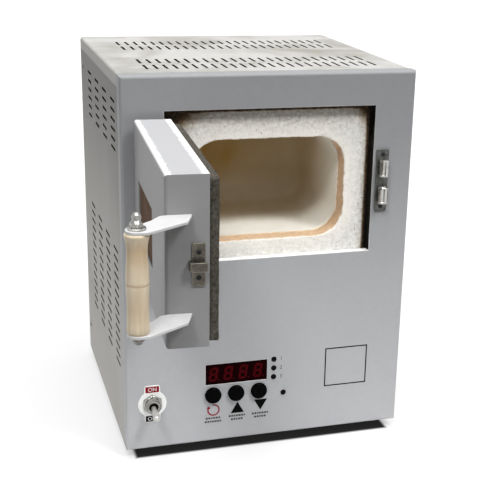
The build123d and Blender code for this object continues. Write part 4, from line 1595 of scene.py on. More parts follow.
@dataclass
class ControlPanel:
    """Display, lamps, buttons and print; x from the casing's left edge, z from its bottom."""

    left: float = -120.0
    bottom: float = 8.0
    print_gap: float = 0.05
    display: Tuple[float, float] = (93.15, 61.4)
    display_gap: float = -0.36
    digit_width: float = 7.4
    digit_height: float = 12.6
    digit_pitch: float = 12.75
    digit_lean: float = 0.14
    digit_shift: float = -0.6
    segment: float = 2.05
    segment_gap: float = 0.25
    dot_radius: float = 0.75
    dot_away: float = 1.5
    buttons: Tuple[Tuple[float, Body, str], ...] = (
        (72.9, Body.BUTTON_LEFT, "button_left"), (92.75, Body.BUTTON_MIDDLE, "button_middle"),
        (112.6, Body.BUTTON_RIGHT, "button_right"))
    button_z: float = 42.8
    button_radius: float = 7.0
    button_rim: float = 1.6
    button_side: float = 1.7
    button_crown: float = 0.75
    lamps: Tuple[Tuple[float, float], ...] = (
        (125.6, 70.0), (125.6, 62.0), (125.6, 53.9), (134.5, 38.5))
    lamp_radius: float = 2.4
    lamp_rise: float = 1.3
    ring_place: Tuple[float, float] = (73.4, 28.9)
    ring_radii: Tuple[float, float] = (5.35, 4.15)
    ring_sweep: Tuple[float, float] = (98.0, -205.0)
    ring_head: Tuple[Tuple[float, float], ...] = ((5.0, -229.0), (2.9, -200.0), (6.7, -200.0))
    triangles: Tuple[Tuple[Tuple[float, float], ...], ...] = (
        ((88.4, 24.0), (100.0, 24.0), (94.2, 34.3)), ((108.6, 34.3), (114.5, 24.4), (120.4, 34.3)))
    frame_box: Tuple[float, float, float, float] = (171.3, 39.7, 209.6, 75.3)
    frame_line: float = 1.05
    dash_rows: Tuple[Tuple[float, float, int], ...] = (
        (73.0, 20.6, 6), (73.0, 17.4, 7), (93.8, 20.6, 7), (93.8, 17.4, 5), (114.2, 20.6, 7),
        (114.2, 17.4, 5))
    dash: Tuple[float, float, float] = (1.15, 0.6, 1.7)
    figures: Tuple[Tuple[str, float, float], ...] = (
        ("1", 132.0, 70.3), ("2", 132.0, 62.1), ("3", 132.0, 53.9))
    figure_height: float = 3.0

    def place(self, x: float = 0.0, z: float = 0.0, gap: Optional[float] = None) -> Placement:
        """A place on the panel, in front of it by the gap or else by the print's."""
        gap = self.print_gap if gap is None else gap
        return Placement.on_panel(self.left + x, self.bottom + z, gap)

    def digit_shapes(self) -> List[np.ndarray]:
        """One upright digit: three bars and four posts, each with six corners, and its dot.

        Returns:
            Outlines about the digit's middle.
        """
        w, h, s = self.digit_width / 2, self.digit_height / 2, self.segment / 2
        span_x, span_z = w - s * 0.4, h / 2 - s * 0.2
        a, b = 1 - s / span_x, 1 - s / span_z
        bar = np.array([[-1, 0], [-a, s], [a, s], [1, 0], [a, -s], [-a, -s]], dtype=float)
        post = np.array([[0, -1], [s, -b], [s, b], [0, 1], [-s, b], [-s, -b]], dtype=float)
        bar[:, 0] *= span_x - self.segment_gap
        post[:, 1] *= span_z - self.segment_gap
        shapes = [bar + np.array([0, z]) for z in (-h + s, 0, h - s)]
        post_z = h / 2 - s * 0.4
        shapes += [post + np.array([x, z]) for x in (-w + s, w - s) for z in (-post_z, post_z)]
        dot = self.dot_radius * np.stack([np.cos(turn(14)), np.sin(turn(14))], -1)
        return shapes + [dot + np.array([w + self.dot_away, -h + s])]

    def digits(self) -> None:
        """Four unlit digits, leaned by a shear of x by height."""
        outlines = []
        for index in range(4):
            middle = (index - 1.5) * self.digit_pitch + self.digit_shift
            for shape in self.digit_shapes():
                lean = self.digit_lean * shape[:, 1] + middle
                outlines.append(np.stack([shape[:, 0] + lean, shape[:, 1]], -1))
        place = self.place(*self.display, self.display_gap)
        flat_marks("display_digits", outlines, place).dress(
            Finishes.DIGIT, "display_pane").ride(Body.CASING)

    def push_buttons(self) -> None:
        """Round buttons: a low crown, highest in the middle, whose rim is a quarter round."""
        r, rim, side = self.button_radius, self.button_rim, self.button_side
        flat = r - rim
        edge = [(flat + rim * math.cos(a), side + rim * math.sin(a))
                for a in np.linspace(0, QUARTER, 9)]
        crown = [(x, side + rim + self.button_crown * (1 - (x / flat) ** 2))
                 for x in np.linspace(flat, 0, 9)[1:]]
        profile = [(0, -4.0), (r, -4.0), (r, 0.0)] + edge + crown
        for x, body, node in self.buttons:
            turned(node + "_domed", profile, self.place(x, self.button_z, 0.0), steps=72).dress(
                Finishes.BUTTON, "button_plastic").ride(body, node)

    def lamp_lenses(self) -> None:
        """Four lamp lenses, each a flattened half ball on a short stem."""
        r, stem = self.lamp_radius, 0.1
        arc = np.linspace(0, QUARTER, 8)[1:]
        profile = [(0, -8.0), (r, -8.0), (r, stem)]
        profile += [(r * math.cos(a), stem + self.lamp_rise * math.sin(a)) for a in arc]
        places = [self.place(x, z, 0.0) for x, z in self.lamps]
        turned("lamp_lenses", profile, *places, steps=36).dress(
            Finishes.LAMP, "lamp_plastic").ride(Body.CASING, "indicator_lamps")

    def symbols(self) -> None:
        """The printed symbols: a ring arrow, two triangles and a plain frame."""
        sweep = np.radians(np.linspace(*self.ring_sweep, 72))
        circle = np.stack([np.cos(sweep), np.sin(sweep)], -1)
        outer, inner = (radius * circle for radius in self.ring_radii)
        marks = [np.array([outer[i], outer[i + 1], inner[i + 1], inner[i]])
                 for i in range(len(sweep) - 1)]
        marks.append(np.array([
            [r * math.cos(math.radians(a)), r * math.sin(math.radians(a))]
            for r, a in self.ring_head]))
        flat_marks("ring_arrow", marks, self.place(*self.ring_place)).dress(
            Finishes.PRINT_RED, "legend_aluminium").ride(Body.CASING)
        x0, z0, x1, z1 = self.frame_box
        t = self.frame_line
        bars = [box_outline(*corners) for corners in (
            (x0, z0, x1, z0 + t), (x0, z1 - t, x1, z1), (x0, z0, x0 + t, z1), (x1 - t, z0, x1, z1))]
        marks = [np.array(triangle) for triangle in self.triangles] + bars
        flat_marks("arrow_triangles_and_frame", marks, self.place()).dress(
            Finishes.PRINT_BLACK, "legend_aluminium").ride(Body.CASING)

    def small_marks(self) -> None:
        """Rows of short dashes under the symbols, and plain figures beside the lamps."""
        shortest, gap, height = self.dash
        dashes = []
        for x, z, count in self.dash_rows:
            widths = shortest + 0.6 * np.abs(np.sin(np.arange(count) * 2.3 + z))
            starts = np.concatenate([[0], np.cumsum(widths + gap)[:-1]])
            starts += x - (starts[-1] + widths[-1]) / 2
            dashes += [box_outline(s, z, s + w, z + height) for s, w in zip(starts, widths)]
        flat_marks("dash_rows", dashes, self.place()).dress(
            Finishes.PRINT_GREY, "legend_aluminium").ride(Body.CASING)
        for text, x, z in self.figures:
            lettering("lamp_figure_" + text, text, self.figure_height, self.place(x, z)).dress(
                Finishes.PRINT_BLACK, "legend_aluminium").ride(Body.CASING)

    def build(self) -> None:
        """Builds everything on the control panel."""
        dress_node("display_filter", Finishes.PANE)
        self.digits()
        self.push_buttons()
        self.lamp_lenses()
        self.symbols()
        self.small_marks()


@dataclass
class ToggleSwitch:
    """The toggle: legend plate, nut, threaded bush and bat lever."""

    x: float = -98.4
    z: float = 49.0
    disc_radius: float = 11.8
    tab_width: float = 13.0
    tab_reach: float = 16.5
    plate: float = 0.8
    fields: Tuple[Tuple[str, float, Finish], ...] = (
        ("on", 13.0, Finishes.PRINT_RED), ("off", -13.2, Finishes.PRINT_BLACK))
    field_size: Tuple[float, float, float] = (11.4, 5.4, 0.5)
    field_gap: float = 0.04
    letter_gap: float = 0.08
    letter_height: float = 3.3
    nut_flats: float = 15.0
    nut_heights: Tuple[float, ...] = (0, 0.15, 0.5, 1.3, 2.1, 2.45, 2.6, 2.6, 2.6)
    nut_limits: Tuple[float, ...] = (1.02, 1.10, 1.2, 1.2, 1.10, 1.03, 0.985, 0.9, 0.80)
    bush_radius: float = 6.0
    bush_proud: float = 7.6
    thread_pitch: float = 0.75
    thread_depth: float = 0.07
    mouth_radii: Tuple[float, ...] = (5.7, 5.2, 4.3, 3.95, 3.9, 3.9)
    mouth_rises: Tuple[float, ...] = (-0.05, 0.12, 0.10, 0.0, -0.3, -1.3)
    cup: Tuple[float, float, float] = (3.85, 1.6, 1.2)
    lever_length: float = 20.5
    lever_root: float = 1.8
    lever_tip: float = 2.9
    lever_drop: float = 15.0
    pivot: float = 1.5

    def place(self, gap: float = 0.0, rise: float = 0.0) -> Placement:
        """A place on the switch's axis or above it, the given distance in front of the panel."""
        return Placement.on_panel(self.x, self.z + rise, gap)

    def legend(self) -> None:
        """White plate: the larger of a disc and an upright tab at each angle, smoothed round."""
        angle, least = turn(220), 1e-6
        tab_x = self.tab_width / 2 / np.maximum(np.abs(np.cos(angle)), least)
        tab_z = self.tab_reach / np.maximum(np.abs(np.sin(angle)), least)
        radius = np.maximum(self.disc_radius, np.minimum(tab_x, tab_z))
        radius = smoothed(np.concatenate([radius[-5:], radius, radius[:5]]), 11)
        outline = np.stack([radius * np.cos(angle), radius * np.sin(angle)], -1)
        slab_from_outline("switch_legend", outline, 0.0, self.plate, self.place()).bevel(
            0.2, 2).dress(Finishes.LEGEND, "legend_aluminium").ride(
            Body.CASING, "switch_legend_plate")
        for name, rise, finish in self.fields:
            area = rounded_rectangle(*self.field_size, 2, 3, (0.0, rise))
            place = self.place(self.plate + self.field_gap)
            flat_marks("switch_field_" + name, [area], place).dress(
                finish, "legend_aluminium").ride(Body.CASING)
            place = self.place(self.plate + self.letter_gap, rise)
            lettering("switch_word_" + name, name.upper(), self.letter_height, place).dress(
                Finishes.PRINT_WHITE, "legend_aluminium").ride(Body.CASING)

    def nut(self) -> None:
        """Hexagon nut: at each angle and height the smaller of the hexagon and a chamfer cone."""
        steps = 120
        limit = self.nut_flats / 2 * np.array(self.nut_limits)
        hexagon = hexagon_radius(turn(steps) + math.pi / 6, self.nut_flats)
        radius = np.minimum(hexagon[None], limit[:, None])
        grid = rings(radius, self.nut_heights, steps)
        ring_piece("switch_nut_chamfered", grid, self.place(self.plate)).smooth(25).dress(
            Finishes.NICKEL, "plated_steel").ride(Body.CASING, "switch_nut")

    def bush(self) -> None:
        """Threaded bush: the radius ripples with height less angle, and a dark cup of painted shade
        fills the mouth.
        """
        steps, root = 90, -0.5
        heights = np.linspace(root, self.bush_proud - 0.4, 60)
        thread = np.sin(2 * math.pi * heights[:, None] / self.thread_pitch - turn(steps)[None])
        wall = self.bush_radius + self.thread_depth * thread
        mouth = rings(self.mouth_radii, self.bush_proud + np.array(self.mouth_rises), steps)
        grid = np.concatenate([rings(wall, heights, steps), mouth])
        ring_piece("switch_bush", grid, self.place()).smooth(60).dress(
            Finishes.NICKEL, "plated_steel").ride(Body.CASING)
        # Painted shade: a black cup closes the mouth, standing in for the dark inside the bush.
        r, deep, shallow = self.cup
        low, high = self.bush_proud - deep, self.bush_proud - shallow
        profile = [(0, low), (r, low), (r, high), (0, high)]
        turned("switch_mouth", profile, self.place(), steps=60).dress(
            Finishes.PRINT_BLACK, "black_plastic").ride(Body.CASING)
        dress_node("switch_body", Finishes.BLACK_PLASTIC)

    def lever(self) -> None:
        """Bat lever: a slim root that swells to a round tip, tipped down by the drop angle."""
        drop, root, tip = math.radians(self.lever_drop), self.lever_root, self.lever_tip
        axis = (0, -math.cos(drop), -math.sin(drop))
        place = Placement((self.x, FRONT - self.pivot, self.z), RIGHT, axis)
        straight, rise = self.lever_length - tip * 0.8, tip * 0.8
        run = np.linspace(0, 1, 14)
        body = list(zip(root + (tip - root) * run ** 1.35, run * straight))
        cap = [(tip * math.cos(a), straight + rise * math.sin(a))
               for a in np.linspace(0, QUARTER, 9)[1:]]
        turned("switch_lever_bat", [(0, 0)] + body + cap, place, steps=48).dress(
            Finishes.BRIGHT, "plated_steel").ride(Body.LEVER, "switch_lever")

    def build(self) -> None:
        """Builds the switch."""
        self.legend()
        self.nut()
        self.bush()
        self.lever()


@dataclass
class BallCatch:
    """The double ball catch on the front panel."""

    x: float = 93.95
    z: float = 229.5
    width: float = 10.7
    height: float = 52.5
    corner: float = 1.5
    plate: float = 1.5
    axis_out: float = 5.5
    barrel: float = 4.0
    gap: float = 9.0
    length: float = 14.0
    web_width: float = 6.4
    bands: Tuple[Tuple[float, float], ...] = ((-166.0, 17.0), (-96.0, 9.0), (-40.0, 12.0))
    ball: float = 3.2
    ball_proud: float = 1.2
    screw_spacing: float = 44.0
    screw: Tuple[float, float, float] = (1.9, 0.7, 0.8)

    def barrel_profile(self) -> List[Tuple[float, float]]:
        """Returns a barrel's section, with a rolled rim at its mouth and one at its end."""
        r, end = self.barrel, self.length
        return [
            (3.3, 2.0), (3.3, 0.5), (3.5, 0.1), (r - 0.1, 0.0), (r + 0.15, 0.35), (r + 0.15, 1.5),
            (r - 0.12, 1.8), (r - 0.12, end - 1.9), (r + 0.2, end - 1.6), (r + 0.2, end - 0.3),
            (r - 0.2, end), (0, end)]

    def on_axis(self, side: int, away: float) -> Placement:
        """Returns a place on the balls' axis, a distance above or below the catch's middle."""
        return Placement((self.x, FRONT - self.axis_out, self.z + side * away), RIGHT, (0, 0, side))

    def barrel_piece(self, label: str, side: int) -> None:
        """One barrel, soft bands of painted reflection round its tube, and the web that holds it.

        Args:
            label: End of the names.
            side: 1 for the upper, -1 for the lower.
        """
        near, end = self.gap / 2, self.length
        profile = self.barrel_profile()
        piece = turned("catch_barrel_" + label, profile, self.on_axis(side, near), steps=72)
        p = piece.points()
        around = np.degrees(np.arctan2(p[:, 1] - (FRONT - self.axis_out), p[:, 0] - self.x))
        height = np.abs(p[:, 2] - self.z) - near
        tube = np.clip((height - 1.4) / 0.4, 0, 1) * np.clip((end - 1.7 - height) / 0.4, 0, 1)
        # Painted reflection: dark stripes at set angles round the barrel, weaker at its two ends.
        bands = sum(np.exp(-((around - at) / spread) ** 2) for at, spread in self.bands)
        piece.mask("band", np.clip(bands, 0, 1) * (0.25 + 0.75 * tube)).dress(
            Finishes.BARREL, "brass").ride(Body.CASING)
        middle = (0.0, side * (near + end / 2))
        web = rounded_rectangle(self.web_width, end - 0.6, 0.4, 2, 2, middle)
        place = Placement.on_panel(self.x, self.z)
        slab_from_outline("catch_web_" + label, web, self.plate - 0.2, self.axis_out, place).bevel(
            0.3, 2).dress(Finishes.AGED_PLATE, "brass").ride(Body.CASING)

    def ball_piece(self, label: str, side: int, body: Body) -> None:
        """One ball: a half ball with a short tail that stays in the barrel.

        Args:
            label: Middle of the name.
            side: 1 for the upper, -1 for the lower.
            body: The ball's body.
        """
        r = self.ball
        profile = [(r * math.cos(a), r * math.sin(a)) for a in np.linspace(-QUARTER, 0, 12)]
        profile += [(r, r), (0, r)]
        seat = self.on_axis(side, self.gap / 2 - self.ball_proud + r)
        turned("catch_ball_" + label + "_round", profile, seat, steps=48).dress(
            Finishes.NICKEL, "brass").ride(body, "catch_ball_" + label)

    def build(self) -> None:
        """Builds the plate with its barrels as one housing, the balls and the screws."""
        outline = rounded_rectangle(self.width, self.height, self.corner, 4, 6)
        place = Placement.on_panel(self.x, self.z)
        slab_from_outline("catch_plate", outline, 0.0, self.plate, place).bevel(0.35, 3).dress(
            Finishes.AGED_PLATE, "brass").ride(Body.CASING, "catch_housing")
        for label, side, body in (("upper", 1, Body.BALL_UPPER), ("lower", -1, Body.BALL_LOWER)):
            self.barrel_piece(label, side)
            self.ball_piece(label, side, body)
        half = self.screw_spacing / 2
        seats = [Placement.on_panel(self.x, self.z + s * half, self.plate) for s in (-1, 1)]
        screw_heads("catch_screws", seats, *self.screw).dress(
            Finishes.SCREW, "zinc_steel").ride(Body.CASING)


@dataclass
class Hinges:
    """Both hinges: finished leaves, and the screws of the leaves."""

    centres: Tuple[float, float] = (194.4, 266.4)
    leaf: float = 1.5
    screw_offset: float = 11.0
    panel_screw: float = 9.5
    door_screw: float = 10.0
    door_edge: float = 4.1
    screw: Tuple[float, float, float] = (2.6, 1.0, 0.7)

    def build(self) -> None:
        """Dresses the leaves and sets their screws."""
        for name in ("lower_panel", "upper_panel", "lower_door", "upper_door"):
            dress_node("hinge_" + name + "_leaf", Finishes.ZINC)
        heights = [z + s * self.screw_offset for z in self.centres for s in (-1, 1)]
        panel = [Placement.on_panel(HINGE[0] - self.panel_screw, z, self.leaf) for z in heights]
        x, y = HINGE[0] + self.door_edge - self.leaf, HINGE[1] - self.door_screw
        door = [Placement((x, y, z), (0, 1, 0), (-1, 0, 0), swung=True) for z in heights]
        for name, seats, body in (("panel", panel, Body.CASING), ("door", door, Body.DOOR)):
            screw_heads("hinge_" + name + "_screws", seats, *self.screw).dress(
                Finishes.ZINC, "zinc_steel").ride(body)


@dataclass
class DoorDress:
    """The door: shell, worn slab, glass, brackets, turned grip and strike, drawn closed."""

    left: float = -82.3
    right: float = 88.0
    back: float = -116.4
    front: float = -144.4
    bottom: float = 173.45
    top: float = 287.35
    sheet: float = 1.2
    slab_proud: float = 6.6
    slab_corner: float = 3.0
    gap_hinge: float = 1.6
    gap_free: float = 1.3
    gap_top: float = 1.3
    gap_bottom: float = 0.4
    window: Tuple[float, float, float, float] = (-55.3, 206.0, 23.7, 248.0)
    window_round: float = 0.8
    halo_middle: float = 14.0
    halo_share: float = 0.28
    grip_x: float = 115.2
    grip_y: float = -164.4
    grip_stations: Tuple[float, ...] = (
        0.0, 0.02, 0.06, 0.14, 0.25, 0.36, 0.52, 0.66, 0.76, 0.84, 0.91, 0.96, 0.985, 1.0)
    grip_radii: Tuple[float, ...] = (
        6.3, 6.9, 7.1, 6.8, 6.55, 6.7, 7.1, 6.8, 6.35, 6.2, 6.7, 7.5, 7.75, 7.1)
    groove: float = 0.28
    bracket_z: Tuple[float, float] = (196.3, 261.3)
    bracket: float = 2.0
    end_radius: float = 6.9
    washer: float = 1.4
    nut_flats: float = 7.4
    nut_heights: Tuple[float, ...] = (0, 0.15, 0.5, 2.2, 2.7, 3.0)
    nut_limits: Tuple[float, ...] = (3.75, 3.95, 4.3, 4.3, 3.95, 3.6)
    strike_z: float = 229.5
    strike_near: float = -119.2
    strike_width: float = 8.4
    strike_height: float = 28.5
    strike_plate: float = 1.2
    tongue_half: float = 3.05
    strike_screw: Tuple[float, float, float] = (1.7, 0.7, 0.8)

    def slab_box(self) -> Tuple[float, float, float, float]:
        """Returns the slab's low and high x, then its low and high z, within the shell's gaps."""
        return (
            self.left + self.sheet + self.gap_hinge, self.right - self.sheet - self.gap_free,
            self.bottom + self.sheet + self.gap_bottom, self.top - self.sheet - self.gap_top)

    def slab_grid(self) -> np.ndarray:
        """The fibre slab as one closed band round the window: the section goes round both loops.

        It runs from the window's edge over the chamber side to the slab's edge, forward along it,
        back behind the shell's face and along the window's wall. Noise wears the edge and pits the
        face.

        Returns:
            Rows of loops, joined at both ends.
        """
        x0, x1, z0, z1 = self.slab_box()
        wx0, wz0, wx1, wz1 = self.window
        rear, hidden = self.back + self.slab_proud, self.front + self.sheet + 5.0
        middle, half = np.array([x0 + x1, z0 + z1]) / 2, np.array([x1 - x0, z1 - z0]) / 2
        inner = rounded_rectangle(
            wx1 - wx0, wz1 - wz0, self.window_round, 26, 8, ((wx0 + wx1) / 2, (wz0 + wz1) / 2))
        outer = rounded_rectangle(x1 - x0, z1 - z0, self.slab_corner, 26, 8, tuple(middle))
        shares = np.concatenate([np.linspace(0, 0.94, 26), [0.97, 0.985, 0.995, 1.0]])
        rays = inner[None] + (outer - inner)[None] * shares[:, None, None]
        rows = len(shares)
        run = np.array([0.5, 1.2, 2.2, 3.4, 4.8, 6.4, 9.0, 14.0])
        grid = np.concatenate([
            upright(rays, np.full(rows, rear)), upright(outer, rear - run),
            upright(outer, [hidden]), upright(inner, [hidden])])
        worn = value_noise(grid, 3.0, 31) * 0.45 + value_noise(grid, 1.3, 33) * 0.3
        grid[:rows, :, 1] += worn[:rows] * 0.6
        grid[rows - 2:rows, :, 1] -= np.array([0.3, 0.7])[:, None]
        off = grid[..., [0, 2]] - middle
        away = np.sign(off) * (np.abs(off) > half - 3.2)
        band = np.zeros(grid.shape[:2])
        band[rows - 2:rows + 6] = 1.0
        bite = np.clip(value_noise(grid, 5.5, 35) - 0.15, 0, 1) * 1.6
        grid[..., [0, 2]] += away * ((worn * 0.5 - bite - 0.15) * band)[..., None]
        return grid

    def slab(self) -> None:
        """The worn slab with its scorch mask by the distance from the edge, and its halo mask."""
        grid = self.slab_grid()
        faces = grid_faces(*grid.shape[:2], True, True)
        piece = Piece("door_slab_worn", SWUNG.put(grid), faces)
        x, z = grid[..., 0].ravel(), grid[..., 2].ravel()
        x0, x1, z0, z1 = self.slab_box()
        wx0, wz0, wx1, wz1 = self.window
        reach = np.minimum(np.minimum(x - x0, x1 - x), np.minimum(z - z0, z1 - z))
        scorch = np.clip(0.62 - reach / 9.0, 0, 1) * 0.75
        gap = np.maximum(np.maximum(wx0 - x, x - wx1), np.maximum(wz0 - z, z - wz1))
        halo = ramped(np.abs(gap - self.halo_middle), self.halo_middle) * self.halo_share
        piece.mask("scorch", scorch).mask("halo", halo).smooth(50).dress(
            Finishes.SLAB, "ceramic_fibre").ride(Body.DOOR, "door_slab")

    def handle(self) -> None:
        """Two flat brackets with rounded edges, as slanting plates with a round end."""
        root, front, r = self.right, self.front, self.end_radius
        a = np.radians(np.linspace(0, -180, 25))
        outline = np.concatenate([
            [[root, front + 1.5], [root, front + 17.0], [root + 15.5, front + 12.0],
             [self.grip_x + r, self.grip_y + 6.0]],
            np.stack([self.grip_x + r * np.cos(a), self.grip_y + r * np.sin(a)], -1),
            [[root + 10.0, front - 9.5], [root + 1.5, front - 3.5]]])
        half = self.bracket / 2
        for z, label in zip(self.bracket_z, ("lower", "upper")):
            name = "bracket_" + label
            slab_from_outline(name + "_plate", outline, z - half, z + half, SWUNG).bevel(
                0.35, 3, 50).dress(Finishes.BRACKET, "zinc_steel").ride(Body.DOOR, name)

    def on_grip(self, z: float, side: int = 1) -> Placement:
        """Returns a place on the grip's axis, looking up or down it."""
        return Placement((self.grip_x, self.grip_y, z), up=(0, 0, side), swung=True)

    def grip(self) -> None:
        """Turned wooden grip: radii at set heights, joined by a smooth curve, with a groove."""
        low, high = self.bracket_z[0] + self.bracket / 2, self.bracket_z[1] - self.bracket / 2
        length = high - low
        t = np.linspace(0, 1, 110)
        radius = np.interp(t, self.grip_stations, self.grip_radii)
        soft = smoothed(np.pad(radius, 4, mode="edge"), 9)
        soft = np.where((t > 0.97) | (t < 0.03), radius, soft)
        soft -= self.groove * np.exp(-((t - 0.5) * length / 0.35) ** 2)
        profile = [(0, 0.0)] + list(zip(soft.tolist(), (t * length).tolist())) + [(0, length)]
        piece = turned("grip_turned", profile, self.on_grip(low), steps=80)
        share = (piece.points()[:, 2] - low) / length
        dip = np.clip((7.0 - np.interp(share, t, soft)) / 0.8, 0, 1) * 0.75
        dip += np.exp(-((share - 0.5) * length / 0.5) ** 2)
        piece.mask("low", np.clip(dip, 0, 1)).smooth(40).dress(
            Finishes.WOOD, "pale_wood").ride(Body.DOOR, "wooden_grip")

    def domed_nut(
        self, label: str, place: Placement, dome: Sequence[np.ndarray], finish: Finish,
    ) -> None:
        """A hexagon nut whose corners a cone cuts, under a dome.

        Args:
            label: End of the name.
            place: Where it sits.
            dome: Radii and heights of the dome.
            finish: Its finish.
        """
        steps = 72
        hexagon = hexagon_radius(turn(steps), self.nut_flats)
        radius = np.minimum(hexagon[None], np.array(self.nut_limits)[:, None])
        grid = np.concatenate([rings(radius, self.nut_heights, steps), rings(*dome, steps)])
        ring_piece("domed_nut_" + label, grid, place).smooth(30).dress(
            finish, "plated_steel").ride(Body.DOOR)

    def bolt_ends(self) -> None:
        """Washer and domed nut above the grip, and a domed nut below it."""
        above, below = self.bracket_z[1] + self.bracket / 2, self.bracket_z[0] - self.bracket / 2
        high = self.washer
        profile = [(0, 0), (5.6, 0), (5.7, 0.3), (5.6, 1.2), (5.3, high), (0, high)]
        turned("grip_washer", profile, self.on_grip(above), steps=48).dress(
            Finishes.NICKEL, "plated_steel").ride(Body.DOOR, "grip_bolt")
        ball, arc = np.linspace(-0.6, QUARTER, 14), np.linspace(0, QUARTER, 10)
        tall = (np.concatenate([[3.45, 2.6], 2.95 * np.cos(ball)]),
                np.concatenate([[3.3, 4.1], 6.25 + 2.95 * np.sin(ball)]))
        low = (2.9 * np.cos(arc), 3.0 + 3.0 * np.sin(arc))
        self.domed_nut("upper", self.on_grip(above + high), tall, Finishes.NICKEL)
        self.domed_nut("lower", self.on_grip(below, -1), low, Finishes.ZINC)

    def strike(self) -> None:
        """Strike: a plate on the free edge, a bent arm with the tongue, and two screws."""
        edge, near, far = self.right, self.strike_near, self.strike_near - self.strike_width
        middle, thick = (far + near) / 2, self.strike_plate

        def on_edge(out: float, rise: float) -> Placement:
            """A place on the door's free edge, looking away from it."""
            at = (edge + out, middle, self.strike_z + rise)
            return Placement(at, (0, 1, 0), RIGHT, swung=True)

        outline = rounded_rectangle(self.strike_width, self.strike_height, 0.8, 3, 4)
        slab_from_outline("strike_back", outline, 0.0, thick, on_edge(0.0, 0.0)).bevel(
            0.25, 2).dress(Finishes.TARNISHED, "brass").ride(Body.DOOR, "strike_plate")
        bend = np.array([
            [edge + 0.2, far + 0.6], [edge + 0.2, far - 1.2], [edge + 0.9, far - 2.2],
            [94.2, far - 2.2], [95.05, far - 1.4], [95.05, -118.9], [94.3, -118.2],
            [93.6, -118.2], [92.85, -118.9], [92.85, far], [92.4, far + 0.6]])
        low, high = self.strike_z - self.tongue_half, self.strike_z + self.tongue_half
        slab_from_outline("strike_tongue", bend, low, high, SWUNG).bevel(0.3, 3, 25).dress(
            Finishes.TARNISHED, "brass").ride(Body.DOOR)
        seats = [on_edge(thick, rise) for rise in (-8.5, 8.5)]
        screw_heads("strike_screws", seats, *self.strike_screw).dress(
            Finishes.SCREW, "zinc_steel").ride(Body.DOOR)

    def build(self) -> None:
        """Builds and dresses the door."""
        dress_node("door_shell", Finishes.DOOR)
        dress_node("window_glass", Finishes.GLASS)
        self.slab()
        self.handle()
        self.grip()
        self.bolt_ends()
        self.strike()


# ---------------------------------------------------------------- floor, light and camera


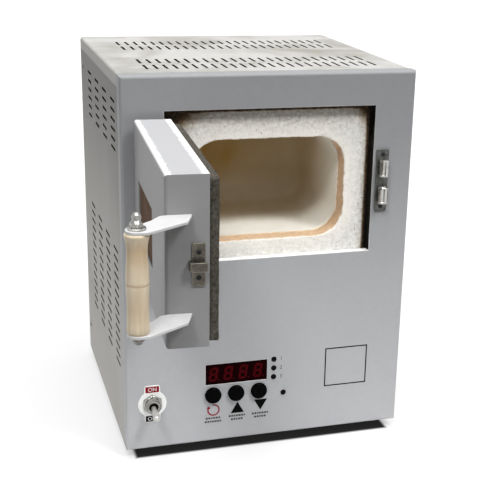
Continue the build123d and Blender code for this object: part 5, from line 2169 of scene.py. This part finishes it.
@dataclass
class Studio:
    """Pale floor, soft lamps and the camera at the photograph's viewpoint, in metres and degrees.

    Each window is a name, an azimuth, a height, a width and a power.
    """

    camera_place: Tuple[float, float, float] = (-0.24099, -0.92054, 0.44760)
    camera_target: Tuple[float, float, float] = (0.02234, -0.116, 0.16368)
    roll: float = 1.78
    lens: float = 78.01
    sensor: float = 36.0
    shift: Tuple[float, float] = (-0.0917, 0.0234)
    ambient: float = 0.16
    windows: Tuple[Tuple[str, float, float, float, float], ...] = (
        ("overhead", 180.0, 89.0, 40.0, 2.3),
        ("left window", -34.0, 50.0, 15.0, 1.2),
        ("right window", 34.0, 50.0, 15.0, 1.65),
    )
    table_near: float = 0.15
    table_far: float = 0.48
    table: Colour = grey(0.88)
    beyond_table: Colour = grey(0.16)
    # Painted shadow: the floor goes dark in a box of these half sizes under the casing.
    contact: Tuple[float, float] = (0.1125, 0.1155)
    contact_soft: float = 0.002
    painted_contact_shadow: Tuple[Colour, Colour] = (grey(0.02), grey(0.028))
    evenness: float = 0.55

    def camera(self) -> None:
        """Sets the camera: a look-at frame, rolled about its axis, with a shifted picture."""
        data = bpy.data.cameras.new("photo camera")
        data.sensor_width = self.sensor
        data.lens = self.lens
        data.shift_x, data.shift_y = self.shift
        data.clip_start, data.clip_end = 0.05, 50.0
        item = bpy.data.objects.new("photo camera", data)
        bpy.context.scene.collection.objects.link(item)
        back = unit(np.array(self.camera_place) - np.array(self.camera_target))
        right = unit(np.cross(UP, back))
        up = np.cross(back, right)
        c, s = math.cos(math.radians(self.roll)), math.sin(math.radians(self.roll))
        place = np.array(self.camera_place) + CASING_MIDDLE * MM
        self._stand(item, c * right + s * up, -s * right + c * up, back, place)
        bpy.context.scene.camera = item

    def _stand(self, item: bpy.types.Object, *columns: np.ndarray) -> None:
        """Sets an object's three directions and its place."""
        item.matrix_world = Matrix([list(row) for row in np.stack(columns, 1)] + [[0, 0, 0, 1]])

    def world(self) -> None:
        """Sets a dim room that looks white to the camera, in gloss and through glass."""
        world = bpy.data.worlds.new("pale room")
        bpy.context.scene.world = world
        bench = Bench.cleared(world)
        room, seen = bench.add("Background"), bench.add("Background")
        for node, strength in ((room, self.ambient), (seen, 1.0)):
            node.inputs[0].default_value = (1.0, 1.0, 1.0, 1.0)
            node.inputs[1].default_value = strength
        out = bench.add("OutputWorld")
        bench.join(bench.blend(bench.seen(), room, seen), out.inputs[0])

    def lamps(self) -> None:
        """Sets the soft lamps, each looking at the kiln from its azimuth and height."""
        for name, azimuth, height, width, power in self.windows:
            data = bpy.data.lights.new(name, "SUN")
            data.energy = power
            data.angle = math.radians(width)
            item = bpy.data.objects.new(name, data)
            bpy.context.scene.collection.objects.link(item)
            a, b = math.radians(azimuth), math.radians(height)
            z = np.array([math.cos(b) * math.sin(a), -math.cos(b) * math.cos(a), math.sin(b)])
            x = unit(np.cross((0, 1, 0.1), z))
            self._stand(item, x, np.cross(z, x), z, 2.0 * z)

    def floor_mesh(self) -> bpy.types.Mesh:
        """A wide floor whose far end bends up a quarter round into a backdrop.

        Returns:
            The mesh.
        """
        run = np.linspace(-QUARTER, 0, 14)
        reach, bend, side, top, columns = 2.2, 0.8, 4.0, 3.5, 9
        section = [(reach + bend * math.cos(a), bend + bend * math.sin(a)) for a in run]
        line = np.array([(-3.0, 0.0), (reach, 0.0)] + section + [(reach + bend, top)])
        across = np.linspace(-side, side, columns)
        shape = (len(line), columns)
        grid = np.stack([np.broadcast_to(part, shape) for part in (
            across[None], line[:, :1], line[:, 1:])], -1)
        mesh = bpy.data.meshes.new("pale floor")
        mesh.from_pydata(grid.reshape(-1, 3).tolist(), [], grid_faces(*shape, False, False))
        return mesh

    def floor_material(self) -> bpy.types.Material:
        """Pale paint with a painted shadow under the casing, and partly even where it is seen.

        It looks pale everywhere, but throws light back only near the object, as a small table
        does.

        Returns:
            The material.
        """
        material = bpy.data.materials.new("pale floor")
        bench = Bench.cleared(material)
        away = bench.add("VectorMath", operation="LENGTH")
        bench.join(bench.place(), away.inputs[0])
        seen, spot = bench.seen(), bench.apart(bench.place())
        far = bench.between(away.outputs["Value"], self.table_near, self.table_far)
        # Painted shadow: a dark colour in a box under the casing, soft at its edges.
        past = []
        for axis, half in enumerate(self.contact):
            off = bench.minus(spot[axis], float(CASING_MIDDLE[axis] * MM))
            past.append(bench.minus(bench.math("ABSOLUTE", off), half))
        outside = bench.math("MAXIMUM", *past)
        clear = bench.between(outside, -self.contact_soft, self.contact_soft)
        dim = bench.times(far, bench.minus(1.0, seen))
        pale = bench.mix(dim, self.table, self.beyond_table)
        matt, even = bench.add("BsdfDiffuse"), bench.add("Emission")
        bench.join(bench.mix(clear, self.painted_contact_shadow[0], pale), matt.inputs[0])
        bench.join(bench.mix(clear, self.painted_contact_shadow[1], grey(1.0)), even.inputs["Color"])
        even.inputs["Strength"].default_value = 1.0
        out = bench.add("OutputMaterial")
        share = bench.times(seen, self.evenness)
        bench.join(bench.blend(share, matt, even), out.inputs[0])
        return material

    def floor(self) -> None:
        """Puts the floor under the kiln."""
        mesh = self.floor_mesh()
        item = bpy.data.objects.new("pale floor", mesh)
        bpy.context.scene.collection.objects.link(item)
        mesh.materials.append(self.floor_material())

    def build(self) -> None:
        """Builds the stage."""
        self.camera()
        self.world()
        self.lamps()
        self.floor()
        bpy.context.scene.view_settings.view_transform = "Standard"


def main() -> None:
    """Builds the stage and the sub-assemblies in order."""
    logging.basicConfig(level=logging.INFO, format="%(name)s: %(message)s")
    Studio().build()
    for part in (CasingDress(), ChamberDress(), ControlPanel(), ToggleSwitch(), BallCatch(),
                 Hinges(), DoorDress()):
        LOG.info("building %s", type(part).__name__)
        part.build()


if __name__ == "__main__":
    main()
